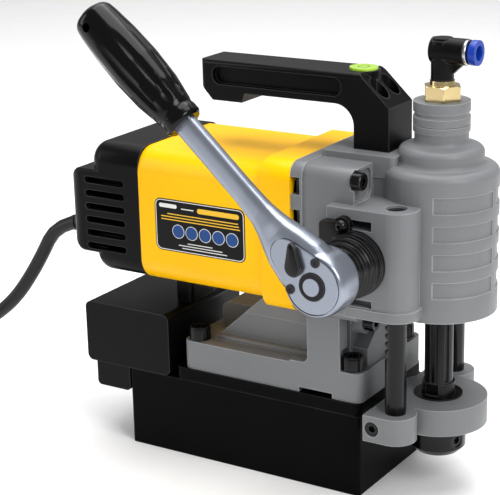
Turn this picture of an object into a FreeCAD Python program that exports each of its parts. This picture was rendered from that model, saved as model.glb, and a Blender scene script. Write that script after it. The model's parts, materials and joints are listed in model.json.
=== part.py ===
"""Magnetic drill press with a horizontal motor and a rack-and-pinion quill.

Millimetres. The origin is the centre of the magnet's bottom face. +X points to the spindle,
-Y to the operator's side with the feed ratchet, and +Z up.
"""
import FreeCAD, Part
import math
import os

V = FreeCAD.Vector

# ---------------------------------------------------------------- driving dimensions
FIT = 0.05                  # radial clearance of a running or threaded fit
GAP = 0.3                   # smallest gap between pieces that move past each other

MAGNET_LENGTH = 160.0
MAGNET_WIDTH = 80.0
MAGNET_HEIGHT = 48.8
GROOVE_WIDTH = 14.0         # the slot milled round the centre pole
GROOVE_DEPTH = 34.0
POLE_RIM = 10.0             # steel left outside the slot
PLATE_THICKNESS = 7.7       # black spacer plate on the magnet
BASE_LENGTH = 120.0
BOLT_INSET = 8.5             # base bolts in from the flange's edges
BOLT_GRIP = 10.0             # thread of a base bolt in the magnet
SLOT_CORNER = 8.0
POTTING_DEPTH = 5.0
COIL_CLEARANCE = 0.6
RAIL_HEIGHT = 17.5
SADDLE_HEIGHT = 30.0
COLUMN_HEIGHT = 31.5        # rail top to gearbox underside
COLUMN_WIDTH = 21.0
COLUMN_SETBACK = 12.4        # columns behind the gearbox face
COLUMN_LEG = 9.0
PAD = 1.2                    # raised pad behind each column
FOOT_R = 4.0
SADDLE_HALF = 24.0
RAMP = (12.0, 48.0)          # the saddle's rear slope, from the flange's rear edge
UPPER_STEP = 11.0
SADDLE_SCREW = (6.6, 18.0, 5.5)     # back from the front, out from the middle, down from the saddle top
SADDLE_SCREW_LENGTH = 20.0
GEARBOX_BOLT = 6.0
BASE_BOLT = 8.0

SPINDLE_OVERHANG = 30.0     # spindle axis in front of the magnet
GEARBOX_LENGTH = 31.9
GEARBOX_HALF = 44.0
GEARBOX_HEIGHT = 88.0
WALL = 6.0                  # cast wall of the gearbox
BEARING_PLATE = 7.5
SPINDLE_HOUSING_R = 32.2
SHOULDER_STEP = 8.55         # ledge where the housing narrows
NECK_R = 14.9
BEAD_R = 15.7                # rings on the neck
RECESS_ROWS = 4              # shallow bands sunk in the housing's nose
RECESS_START = 14.3
RECESS_PITCH = 15.9
GEARBOX_BOLT_INSET = 4.0
GEARBOX_BOLT_DROP = 6.5
POCKET = 2.0                 # depth of the pocket round each gearbox bolt
SKIRT = 5.7                  # flared foot of each rod boss
BOSS_R = 12.6               # bosses that guide the two rack rods
BOSS_TOP = 174.2 - 105.5    # above the gearbox underside
BOSS_BOTTOM = 112.9 - 105.5
ROD_R = 6.0
ROD_SPREAD = 38.0           # rod axes either side of the spindle plane
ROD_BACK = 8.0              # rod axes behind the spindle axis
STROKE_UP = 43.0

MODULE = 1.5                # feed rack and pinion
PINION_TEETH = 20
PINION_WIDTH = 13.0
RACK_BACKLASH = 0.3
PINION_SHAFT_R = 8.0
PINION_HEIGHT = 38.9        # pinion axis above the gearbox underside
EAR = (6.0, 21.0)            # the hub's screw ear, back and up from the pinion axis
EAR_SCREW_R = 2.0
HUB_DEPTH = 22.0             # how far the ringed nose stands out
EAR_THICKNESS = 4.0
DRIVE_SQUARE = 9.4          # three-eighths ratchet drive

MOTOR_LENGTH = 105.0
MOTOR_HALF = 44.5
MOTOR_AXIS_UP = 43.5        # motor axis above the gearbox underside
MOTOR_HALF_HEIGHT = 40.2
SHELL = 3.0
STACK_SET = 29.0             # iron stack, from the rear of the motor housing
STACK_LENGTH = 50.0
BRUSH_SET = 10.0
BRUSH_WIDTH = 8.0
BRUSH_HEIGHT = 6.4
COMMUTATOR_R = 12.0
MOTOR_SHAFT_R = 5.0
FAN_BLADES = 12
LABEL_X = (11.5, 73.5)       # rating plate, from the rear of the motor housing
LABEL_Z = (-18.0, 13.5)      # and from the motor axis
CAP_LENGTH = 54.0            # at the vents; the rest of the cap stops short
CAP_SETBACK = 17.0
VENT_RISE = 24.5             # upper edge of the vented part above the motor axis
VENT_DROP = 27.5
VENTS = 6
VENT_X = (14.0, 43.0)        # vent slots, from the cap's rear
VENT_CORNER = 11.0
CAP_SCREW = 5.0
CAP_SCREW_LENGTH = 45.0
VENT_PITCH = 8.2
ARMATURE_R = 22.0
FIELD_R = 34.0

SHAFT_R = 8.15              # splined spindle
ARBOR_R = 16.0
ARBOR_BORE_R = 9.53         # takes a 19.05 mm cutter shank
ARBOR_DEPTH = 30.0
CARRIER_THICKNESS = 15.5
SPLINES = 6

GEAR_MODULE = 1.25          # motor reduction
MOTOR_PINION_TEETH = 12
IDLER_TEETH = 24

HANDLE_WIDTH = 28.0
HANDLE_BAR = 18.0
VIAL_R = 8.0
HANDLE_BOLT_Y = 6.5
HANDLE_BEND = 12.0           # inner corner where the bar meets the leg
HANDLE_RISE = 42.5          # leg height over the gearbox deck
DECK_RISE = 4.0

RATCHET_R = 18.2
RATCHET_THICKNESS = 20.0
RATCHET_REACH = 195.0
RATCHET_ANGLE = 137.5       # parked direction, from +X towards +Z
LEVER_ANGLE = 94.0           # reversing lever, from +X towards +Z
GRIP_LENGTH = 83.0

BOX_LENGTH = 62.0           # control box
BOX_HEIGHT = 38.7
BOX_OVERLAP = 30.0          # length that stands on the magnet
CORD_D = 9.0

# ---------------------------------------------------------------- worked-out places
MAGNET_FRONT = MAGNET_LENGTH / 2
PLATE_Z = MAGNET_HEIGHT
BASE_Z = PLATE_Z + PLATE_THICKNESS
RAIL_Z = BASE_Z + RAIL_HEIGHT
GEAR_Z = RAIL_Z + COLUMN_HEIGHT
SADDLE_Z = RAIL_Z + SADDLE_HEIGHT
SPINDLE_X = MAGNET_FRONT + SPINDLE_OVERHANG
ROD_X = SPINDLE_X - ROD_BACK
BODY_X1 = SPINDLE_X - 30.6
BODY_X0 = BODY_X1 - GEARBOX_LENGTH
PLATE_X0 = BODY_X0 - BEARING_PLATE
BODY_Z1 = GEAR_Z + GEARBOX_HEIGHT
DECK_Z = BODY_Z1 + DECK_RISE
BOSS_Z1 = GEAR_Z + BOSS_TOP
BOSS_Z0 = GEAR_Z + BOSS_BOTTOM
HOUSING_Z0 = GEAR_Z + 3.5
HOUSING_Z1 = BODY_Z1 - 1.5
NECK_Z0 = DECK_Z + 8.5
NECK_Z1 = NECK_Z0 + 21.0
SHOULDER_Z1 = NECK_Z0 - 4.5
SHOULDER_R = SPINDLE_HOUSING_R - SHOULDER_STEP
WALL_Y = ROD_SPREAD + BOSS_R

PITCH_R = MODULE * PINION_TEETH / 2
RACK_PITCH_X = ROD_X - 3.5
PINION_X = RACK_PITCH_X - PITCH_R
PINION_Z = GEAR_Z + PINION_HEIGHT
PINION_Y = ROD_SPREAD

MOTOR_Z = GEAR_Z + MOTOR_AXIS_UP
MOTOR_X1 = PLATE_X0 + 1.0
MOTOR_X0 = MOTOR_X1 - MOTOR_LENGTH
CAP_X0 = MOTOR_X0 - CAP_LENGTH
IDLER_Z = MOTOR_Z + GEAR_MODULE * (MOTOR_PINION_TEETH + IDLER_TEETH) / 2

CARRIER_Z1 = HOUSING_Z0 - STROKE_UP - 10.0
CARRIER_Z0 = CARRIER_Z1 - CARRIER_THICKNESS
ARBOR_Z0 = CARRIER_Z0 - 18.5
ROD_TOP = BOSS_Z1 - 1.2
SHAFT_TOP = BODY_Z1 - 43.5

HANDLE_Z0 = DECK_Z
HANDLE_Z1 = DECK_Z + HANDLE_RISE
LEG_X1 = SPINDLE_X - 25.0
LEG_X0 = LEG_X1 - 22.0
HANDLE_BOLT_X = LEG_X1 - 10.0
HANDLE_X0 = LEG_X1 - 123.0
BOX_X1 = -MAGNET_FRONT + BOX_OVERLAP
BOX_X0 = BOX_X1 - BOX_LENGTH
BOX_Z1 = MAGNET_HEIGHT + BOX_HEIGHT
RATCHET_Y1 = -WALL_Y - 26.4
RATCHET_Y0 = RATCHET_Y1 - RATCHET_THICKNESS

AXES = {"x": V(1, 0, 0), "y": V(0, 1, 0), "z": V(0, 0, 1)}
NODES = {}


# ---------------------------------------------------------------- helpers
def block(x, y, z, radius=0.0, axis="z"):
    """A box from three spans, with the four edges along one axis rounded."""
    shape = Part.makeBox(x[1] - x[0], y[1] - y[0], z[1] - z[0], V(x[0], y[0], z[0]))
    if radius > 0:
        along = AXES[axis]
        edges = [e for e in shape.Edges if abs(abs(e.tangentAt(e.FirstParameter).dot(along)) - 1) < 1e-6]
        shape = shape.makeFillet(radius, edges)
    return shape


def rod(axis, a, b, span, radius):
    """A cylinder along x, y or z through (a, b), the other two coordinates in order."""
    if axis == "x":
        start = V(span[0], a, b)
    elif axis == "y":
        start = V(a, span[0], b)
    else:
        start = V(a, b, span[0])
    return Part.makeCylinder(radius, span[1] - span[0], start, AXES[axis])


def tube(axis, a, b, span, outer, inner):
    return rod(axis, a, b, span, outer).cut(rod(axis, a, b, span, inner))


def lathe(points, at, direction=V(0, 0, 1)):
    """Turn a closed outline of (radius, height) about its axis."""
    wire = Part.makePolygon([V(r, 0, h) for r, h in points] + [V(points[0][0], 0, points[0][1])])
    solid = Part.Face(wire).revolve(V(0, 0, 0), V(0, 0, 1), 360)
    return place(solid, at, direction)


def place(shape, at, direction=V(0, 0, 1)):
    """Point the shape's +Z along a direction and move its origin to a place."""
    moved = shape.copy()
    turned = FreeCAD.Placement(at, FreeCAD.Rotation(V(0, 0, 1), direction))
    moved.Placement = turned.multiply(moved.Placement)
    return moved


def prism(points, y):
    """Extrude an outline of (x, z) over a span of y."""
    wire = Part.makePolygon([V(x, y[0], z) for x, z in points] + [V(points[0][0], y[0], points[0][1])])
    return Part.Face(wire).extrude(V(0, y[1] - y[0], 0))


def hexagon(across_flats, height):
    corners = [V(across_flats / math.sqrt(3) * math.cos(math.radians(60 * i)),
                 across_flats / math.sqrt(3) * math.sin(math.radians(60 * i)), 0) for i in range(7)]
    return Part.Face(Part.makePolygon(corners)).extrude(V(0, 0, height))


def join(shapes):
    whole = shapes[0]
    if len(shapes) > 1:
        whole = whole.fuse(shapes[1:])
    return whole.removeSplitter()


def carve(shape, tools):
    return shape.cut(tools).removeSplitter()


def group(shapes):
    return Part.makeCompound(shapes)


def cap_screw(size, length):
    """Socket cap screw, seated at z = 0 with its head above."""
    head_r = 0.75 * size + 0.5
    chamfer = 0.08 * size
    head = lathe([(0, 0), (head_r, 0), (head_r, size - chamfer), (head_r - chamfer, size), (0, size)],
                 V(0, 0, 0))
    shank = rod("z", 0, 0, (-length, 0), size / 2)
    socket = hexagon(0.78 * size, 0.55 * size)
    socket.translate(V(0, 0, size * 0.45 + 0.01))
    return head.fuse(shank).cut(socket)


def screw_hole(size, length):
    return rod("z", 0, 0, (-length, 0), size / 2 + FIT)


def involute_gear(module, teeth, width, thinning):
    """Spur gear about Z from z = 0, its teeth thinned at the pitch circle; a tooth points along +X."""
    pitch = module * teeth / 2
    base = pitch * math.cos(math.radians(20))
    tip = pitch + 0.95 * module
    root = pitch - 1.2 * module
    half = (math.pi * module / 2 - thinning) / (2 * pitch)
    inv20 = math.tan(math.radians(20)) - math.radians(20)
    flank = []
    steps = 5
    start = max(base, root)
    for i in range(steps + 1):
        r = start + (tip - start) * i / steps
        a = math.acos(min(1.0, base / r))
        flank.append((r, half + inv20 - (math.tan(a) - a)))
    points = []
    for tooth in range(teeth):
        centre = 2 * math.pi * tooth / teeth
        first = flank[0][1]
        polar = [(root, centre - first)] if root < start else []
        polar += [(r, centre - a) for r, a in flank]
        polar += [(r, centre + a) for r, a in reversed(flank)]
        polar += [(root, centre + first)] if root < start else []
        points += [V(r * math.cos(a), r * math.sin(a), 0) for r, a in polar]
    points.append(points[0])
    return Part.Face(Part.makePolygon(points)).extrude(V(0, 0, width))


def racetrack(length, width, z, radius):
    return block((-length / 2, length / 2), (-width / 2, width / 2), z, radius)


# ---------------------------------------------------------------- magnet and base
def base_bolt_places():
    rear = MAGNET_FRONT - BASE_LENGTH + BOLT_INSET - 1.0
    front = MAGNET_FRONT - BOLT_INSET
    side = MAGNET_WIDTH / 2 - BOLT_INSET
    return [(x, y) for x in (rear, front) for y in (-side, side)]


def slot_ring(z, clearance=0.0):
    """The slot round the centre pole, or what fills it with a clearance."""
    outer = (MAGNET_LENGTH - 2 * POLE_RIM, MAGNET_WIDTH - 2 * POLE_RIM)
    inner = (outer[0] - 2 * GROOVE_WIDTH, outer[1] - 2 * GROOVE_WIDTH)
    around = racetrack(outer[0] - 2 * clearance, outer[1] - 2 * clearance, z, SLOT_CORNER)
    return around.cut(racetrack(inner[0] + 2 * clearance, inner[1] + 2 * clearance, z, SLOT_CORNER / 2))


def make_magnet():
    bolt_length = RAIL_HEIGHT + PLATE_THICKNESS + BOLT_GRIP
    holes = [place(screw_hole(BASE_BOLT, bolt_length + 1), V(x, y, RAIL_Z)) for x, y in base_bolt_places()]
    half = MAGNET_WIDTH / 2
    core = block((-MAGNET_FRONT, MAGNET_FRONT), (-half, half), (0, MAGNET_HEIGHT), 2.0)
    NODES["magnet_core"] = carve(core, [slot_ring((-1, GROOVE_DEPTH))] + holes)
    NODES["magnet_coil"] = slot_ring((POTTING_DEPTH, GROOVE_DEPTH), COIL_CLEARANCE)
    NODES["magnet_potting"] = slot_ring((GAP, POTTING_DEPTH))
    plate = block((MAGNET_FRONT - BASE_LENGTH - 6, MAGNET_FRONT), (-half, half), (PLATE_Z, BASE_Z), 5.0)
    NODES["magnet_top_plate"] = carve(plate, holes)
    NODES["base_casting"] = make_base(holes)
    bolts = [place(cap_screw(BASE_BOLT, bolt_length), V(x, y, RAIL_Z)) for x, y in base_bolt_places()]
    NODES["base_screws"] = group(bolts + [place(cap_screw(GEARBOX_BOLT, SADDLE_SCREW_LENGTH), at, V(1, 0, 0))
                                          for at in saddle_screw_places()])


def saddle_screw_places():
    """Seats of the two screws that face forwards below the gearbox."""
    return [V(MAGNET_FRONT - SADDLE_SCREW[0], s * SADDLE_SCREW[1], SADDLE_Z - SADDLE_SCREW[2])
            for s in (-1, 1)]


def make_base(bolt_holes):
    """Base casting: a flange, a stepped saddle under the motor and two columns under the gearbox."""
    side = MAGNET_WIDTH / 2 - 1.0
    rear = MAGNET_FRONT - BASE_LENGTH
    column = (BODY_X1 - COLUMN_SETBACK - COLUMN_WIDTH, BODY_X1 - COLUMN_SETBACK)
    ramp = (rear + RAMP[0], rear + RAMP[1])
    ramp_run = (ramp[1] - ramp[0]) / (SADDLE_HEIGHT + 2)
    ridge = prism([(ramp[0], RAIL_Z - 2), (ramp[1], SADDLE_Z), (column[1], SADDLE_Z),
                   (column[1], RAIL_Z - 2)],
                  (-SADDLE_HALF, SADDLE_HALF))
    upper_step = prism([(ramp[1] - UPPER_STEP * ramp_run, SADDLE_Z - UPPER_STEP), (ramp[1], SADDLE_Z),
                        (column[1], SADDLE_Z), (column[1], SADDLE_Z - UPPER_STEP)],
                       (-SADDLE_HALF - 1.6, SADDLE_HALF + 1.6))
    lower_step = block((ramp[0] + 4, column[1]), (-SADDLE_HALF - 4.0, SADDLE_HALF + 4.0),
                       (RAIL_Z - 4, RAIL_Z + 3.0), 2.5, "x")
    rear_boss = block((rear + 6, rear + 34), (-4, SADDLE_HALF), (RAIL_Z - 6, RAIL_Z + 15), 5.0, "y")
    eaves = RAIL_Z + 10.0
    gable = Part.Face(Part.makePolygon([
        V(column[1] - 1, -SADDLE_HALF, RAIL_Z - 1), V(column[1] - 1, -SADDLE_HALF, eaves),
        V(column[1] - 1, 0, SADDLE_Z), V(column[1] - 1, SADDLE_HALF, eaves),
        V(column[1] - 1, SADDLE_HALF, RAIL_Z - 1), V(column[1] - 1, -SADDLE_HALF, RAIL_Z - 1)]))
    solids = [
        block((rear, MAGNET_FRONT), (-side, side), (BASE_Z, RAIL_Z), 5.0),
        ridge,
        upper_step,
        lower_step,
        rear_boss,
        gable.extrude(V(MAGNET_FRONT - 2 - column[1], 0, 0)),
        block(column, (-SADDLE_HALF - 2, SADDLE_HALF + 2), (RAIL_Z - 1, SADDLE_Z)),
    ]
    for sign in (-1, 1):
        leg = sorted((sign * side, sign * (side - COLUMN_LEG)))
        solids.append(block(column, leg, (RAIL_Z - 1, GEAR_Z)))
        solids.append(block((column[0] - 12, column[0]), leg, (RAIL_Z - 1, RAIL_Z + PAD)))
        foot = block((column[0] - FOOT_R, column[0] + 0.1), leg,
                     (RAIL_Z + PAD - 0.2, RAIL_Z + PAD + FOOT_R - 0.2))
        round_tool = rod("y", column[0] - FOOT_R, RAIL_Z + PAD + FOOT_R, (leg[0] - 1, leg[1] + 1), FOOT_R)
        solids.append(foot.cut(round_tool))
    for at in saddle_screw_places():
        solids.append(rod("x", at.y, at.z, (column[1] - 1, at.x), 7.0))
    notch = block((column[0] - 6, column[1] - 5), (-MAGNET_WIDTH, MAGNET_WIDTH), (BASE_Z - 1, BASE_Z + 3.0))
    head_space = 0.75 * BASE_BOLT + 0.5 + 1.0
    cuts = [rod("z", x, y, (RAIL_Z, RAIL_Z + 1.5 * BASE_BOLT), head_space) for x, y in base_bolt_places()]
    cuts += [place(screw_hole(GEARBOX_BOLT, SADDLE_SCREW_LENGTH + 0.5), at, V(1, 0, 0))
             for at in saddle_screw_places()]
    return carve(join(solids), [notch] + cuts + bolt_holes)


# ---------------------------------------------------------------- gearbox
BORE_R = SPINDLE_HOUSING_R - WALL - 0.2
SLEEVE_R = 12.0
SLEEVE_Z0 = GEAR_Z + 14.5
CROWN_Z0 = IDLER_Z - 17.5
CROWN_Z1 = IDLER_Z - 9.5
SLEEVE_Z1 = IDLER_Z + 4.5
UPPER_BEARING = (IDLER_Z - 5.0, SLEEVE_Z1)
LOWER_BEARING = (HOUSING_Z0 + 3.0, SLEEVE_Z0 + 8.0)
CAVITY_R = MODULE * (PINION_TEETH / 2 + 1) + 0.9
CHAMBER_Y = 36.0


def neck_outline():
    """Half section of the spindle housing and the ringed neck above it."""
    beads = [(16.6, 13.2), (12.4, 8.4), (5.6, 0.0)]      # spans of the three rings, down from the top
    neck = []
    for lower, upper in beads:
        neck += [(NECK_R, NECK_Z1 - lower - 0.4), (BEAD_R, NECK_Z1 - lower), (BEAD_R, NECK_Z1 - upper),
                 (NECK_R, NECK_Z1 - upper + 0.4)]
    neck[-1] = (0, NECK_Z1)
    return [(0, HOUSING_Z0), (SPINDLE_HOUSING_R, HOUSING_Z0), (SPINDLE_HOUSING_R, HOUSING_Z1),
            (SHOULDER_R, HOUSING_Z1), (SHOULDER_R, SHOULDER_Z1), (NECK_R, SHOULDER_Z1 + 2.5)] + neck


def round_rings(solid, places):
    """Round the circular edges of a turned shape: places are (radius of edge, height, fillet)."""
    for radius, z, fillet in places:
        edges = [e for e in solid.Edges if abs(e.BoundBox.ZMin - z) < 0.01
                 and abs(e.BoundBox.ZMax - z) < 0.01
                 and abs(e.BoundBox.XLength - 2 * radius) < 0.1]
        solid = solid.makeFillet(fillet, edges)
    return solid


def pad_recess(z):
    """A shallow band sunk in the spindle housing on both sides of its nose."""
    ring = tube("z", SPINDLE_X, 0, (z, z + 9.0), SPINDLE_HOUSING_R + 1, SPINDLE_HOUSING_R - 0.8)
    pieces = []
    for start in (-72.0, 4.0):
        wedge = Part.makeCylinder(SPINDLE_HOUSING_R + 2, 9.0, V(SPINDLE_X, 0, z), V(0, 0, 1), 68.0)
        wedge.rotate(V(SPINDLE_X, 0, z), V(0, 0, 1), start)
        pieces.append(ring.common(wedge))
    return pieces


def make_gearbox():
    spindle_housing = lathe(neck_outline(), V(SPINDLE_X, 0, 0))
    spindle_housing = round_rings(spindle_housing, [
        (SPINDLE_HOUSING_R, HOUSING_Z1, 5.0), (SHOULDER_R, HOUSING_Z1, 3.2),
        (SHOULDER_R, SHOULDER_Z1, 4.0), (NECK_R, SHOULDER_Z1 + 2.5, 2.8)])
    bolt_y = GEARBOX_HALF - GEARBOX_BOLT_INSET
    bolt_z = BODY_Z1 - GEARBOX_BOLT_DROP
    bolt_x = BODY_X1 - POCKET
    bolt_run = GEARBOX_LENGTH + BEARING_PLATE + 5.6
    solids = [
        block((BODY_X0, BODY_X1), (-GEARBOX_HALF, GEARBOX_HALF), (GEAR_Z, BODY_Z1), 7.0, "x"),
        block((BODY_X0, SPINDLE_X - 17), (-23, 23), (BODY_Z1 - 8, DECK_Z), 3.0),
        block((BODY_X1 - 2, SPINDLE_X), (-22, 22), (HOUSING_Z0, BODY_Z1 - 2)),
        block((BODY_X1 - 13.4, ROD_X), (-WALL_Y, WALL_Y), (BOSS_Z0, BOSS_Z1)),
        spindle_housing,
    ]
    for sign in (-1, 1):
        solids.append(rod("z", ROD_X, sign * ROD_SPREAD, (BOSS_Z0, BOSS_Z1), BOSS_R))
        solids.append(rod("z", ROD_X, sign * ROD_SPREAD, (BOSS_Z0, BOSS_Z0 + SKIRT), BOSS_R + 1.0))
        low, high = sorted((sign * (WALL_Y + 1.0), sign * (WALL_Y - 4.0)))
        solids.append(block((BODY_X1 - 2.4, ROD_X), (low, high), (BOSS_Z0, BOSS_Z0 + SKIRT)))
    body = join(solids)

    cuts = [
        block((BODY_X0 - 1, BODY_X1 - 3.5), (-CHAMBER_Y, CHAMBER_Y), (GEAR_Z + WALL, BODY_Z1 - 4.5), 6.0,
              "x"),
        rod("x", 0, IDLER_Z, (BODY_X1 - 4, SPINDLE_X - 17.5), 9.5),
        rod("z", SPINDLE_X, 0, (HOUSING_Z0 - 1, CROWN_Z1 + 2.0), BORE_R),
        rod("z", SPINDLE_X, 0, (UPPER_BEARING[0] - 4, SLEEVE_Z1 + 0.5), 17.0),
        rod("z", SPINDLE_X, 0, (SLEEVE_Z1, NECK_Z0 - 2.0), SHAFT_R + 1.4),
        rod("z", SPINDLE_X, 0, (NECK_Z0 - 3, NECK_Z1 - 7.9), 4.0),
        rod("z", SPINDLE_X, 0, (NECK_Z1 - 8, NECK_Z1 + 1), 6.5 + FIT),
        rod("y", PINION_X, PINION_Z, (-WALL_Y - 1, WALL_Y + 1), PINION_SHAFT_R + 3.0),
    ]
    for sign in (-1, 1):
        cuts.append(rod("z", ROD_X, sign * ROD_SPREAD, (BOSS_Z0 - 1, BOSS_Z1 + 1), ROD_R + FIT))
        low, high = sorted((sign * (PINION_Y - PINION_WIDTH / 2 - 0.5),
                            sign * (PINION_Y + PINION_WIDTH / 2 + 0.5)))
        cuts.append(rod("y", PINION_X, PINION_Z, (low, high), CAVITY_R))
        low, high = sorted((sign * (WALL_Y + 1), sign * (WALL_Y - 5.0)))
        window_x1 = ROD_X - 8.5
        cuts.append(block((bolt_x, window_x1), sorted((sign * (WALL_Y + 1), sign * (WALL_Y - 14.0))),
                          (BOSS_Z1 - 11.2, BOSS_Z1 - 5.8)))
        cuts.append(block((BODY_X1 - 0.5, window_x1), (low, high),
                          (BOSS_Z0 + SKIRT + 0.9, BOSS_Z0 + SKIRT + 5.0)))
        cuts.append(rod("x", sign * bolt_y, bolt_z, (bolt_x, BODY_X1 + 1), 6.0))
        pocket = sorted((sign * (GEARBOX_HALF - 1.0), sign * 24.0))
        cuts.append(block((bolt_x, BODY_X1 + 1), pocket, (BOSS_Z1 + 0.5, BODY_Z1 - 1.5), 5.0, "x"))
        cuts.append(place(screw_hole(GEARBOX_BOLT, bolt_run), V(bolt_x, sign * bolt_y, bolt_z), V(1, 0, 0)))
        cuts.append(place(screw_hole(GEARBOX_BOLT, 8.0), V(HANDLE_BOLT_X, sign * HANDLE_BOLT_Y, DECK_Z)))
    for row in range(RECESS_ROWS):
        cuts += pad_recess(HOUSING_Z0 + RECESS_START + RECESS_PITCH * row)
    NODES["gearbox_housing"] = carve(body, cuts)

    # The plate between motor and gearbox carries the front armature bearing and the idler shaft.
    plate = block((PLATE_X0, BODY_X0), (-GEARBOX_HALF - 1, GEARBOX_HALF + 1), (GEAR_Z + 1, BODY_Z1 + 0.5),
                  8.0, "x")
    windows = [
        rod("x", 0, MOTOR_Z, (PLATE_X0 - 1, BODY_X0 + 1), 11.0),
        rod("x", 0, IDLER_Z, (BODY_X0 - 4.5, BODY_X0 + 1), 5.0),
    ]
    for sign in (-1, 1):
        low, high = sorted((sign * (GEARBOX_HALF + 2), sign * (GEARBOX_HALF - 6.0)))
        for z in (MOTOR_Z + 8.5, MOTOR_Z + 27.0, MOTOR_Z - 28.0):
            windows.append(block((PLATE_X0 - 1, BODY_X0 - 1.5), (low, high), (z, z + 10.0)))
        windows.append(place(screw_hole(GEARBOX_BOLT, bolt_run), V(bolt_x, sign * bolt_y, bolt_z),
                             V(1, 0, 0)))
    NODES["bearing_plate"] = carve(plate, windows)
    screws = [place(cap_screw(GEARBOX_BOLT, GEARBOX_LENGTH - POCKET + BEARING_PLATE - 1.0),
                    V(bolt_x, sign * bolt_y, bolt_z), V(1, 0, 0)) for sign in (-1, 1)]
    NODES["gearbox_screws"] = group(screws + [hub_screw()])

    NODES["ball_bearings"] = group([
        tube("z", SPINDLE_X, 0, LOWER_BEARING, BORE_R, SLEEVE_R + FIT),
        tube("z", SPINDLE_X, 0, UPPER_BEARING, 17.0, SLEEVE_R + FIT),
        tube("x", 0, IDLER_Z, (BODY_X1 - 3.5, BODY_X1 + 3.0), 9.5, 5.0 + FIT),
        tube("x", 0, IDLER_Z, (BODY_X0 - 4.5, BODY_X0), 5.0, 3.0 + FIT),
        tube("x", 0, MOTOR_Z, (CAP_X0 + 13, CAP_X0 + 22), 11.0, 4.0 + FIT),
        tube("x", 0, MOTOR_Z, (PLATE_X0, BODY_X0), 11.0, 5.0 + FIT),
    ])
    bushes = []
    for sign in (-1, 1):
        low, high = sorted((sign * (WALL_Y - 5.0), sign * WALL_Y))
        bushes.append(tube("y", PINION_X, PINION_Z, (low, high), PINION_SHAFT_R + 3.0, PINION_SHAFT_R + FIT))
    NODES["pinion_bushes"] = group(bushes)


def hub_screw():
    """Dome-head screw through the arm of the feed hub."""
    dome = Part.makeSphere(3.6, V(0, 0, 0), V(0, 0, 1), 0, 90, 360)
    screw = dome.fuse(rod("z", 0, 0, (-12, 0), 2.0)).cut(place(hexagon(2.5, 3.0), V(0, 0, 1.6)))
    return place(screw, V(PINION_X - EAR[0], -WALL_Y - EAR_THICKNESS, PINION_Z + EAR[1]), V(0, -1, 0))


def make_feed_hub():
    """The ringed nose round the near end of the pinion shaft, its bracket and the far end cover."""
    y0 = -WALL_Y - HUB_DEPTH
    at = V(PINION_X, -WALL_Y, PINION_Z)
    screw_x = PINION_X - EAR[0]
    screw_z = PINION_Z + EAR[1]
    rings = [(10.0, 0), (18.5, 0), (18.5, 2.6), (17.4, 3.2), (17.4, 5.4), (18.0, 6.0), (18.0, 8.6),
             (16.6, 9.6),
             (16.6, 12.2), (15.0, 13.6), (15.0, 16.4), (13.2, 17.8), (13.2, HUB_DEPTH), (10.0, HUB_DEPTH)]
    nose = lathe(rings, at, V(0, -1, 0))
    bore = rod("y", PINION_X, PINION_Z, (y0 - 1, -WALL_Y + 1), PINION_SHAFT_R + 1.0)
    ear_y = (-WALL_Y - EAR_THICKNESS, -WALL_Y)
    ear = rod("y", screw_x, screw_z, ear_y, 5.0)
    arm = block((screw_x - 14, screw_x), ear_y, (PINION_Z + 8, screw_z + 2), 3.0, "y")
    hole = rod("y", screw_x, screw_z, (-WALL_Y - 9, -WALL_Y + 1), EAR_SCREW_R + FIT)
    NODES["feed_hub"] = carve(join([nose, ear, arm]), [bore, hole])
    hole_in_wall = rod("y", screw_x, screw_z, (-WALL_Y - 1, -WALL_Y + 9), EAR_SCREW_R + FIT)
    NODES["gearbox_housing"] = carve(NODES["gearbox_housing"], [hole_in_wall])
    cover = lathe([(0, 0), (17.0, 0), (17.0, 4.0), (15.0, 6.0), (0, 6.0)], V(PINION_X, WALL_Y, PINION_Z),
                  V(0, 1, 0))
    NODES["pinion_end_cover"] = cover


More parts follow.
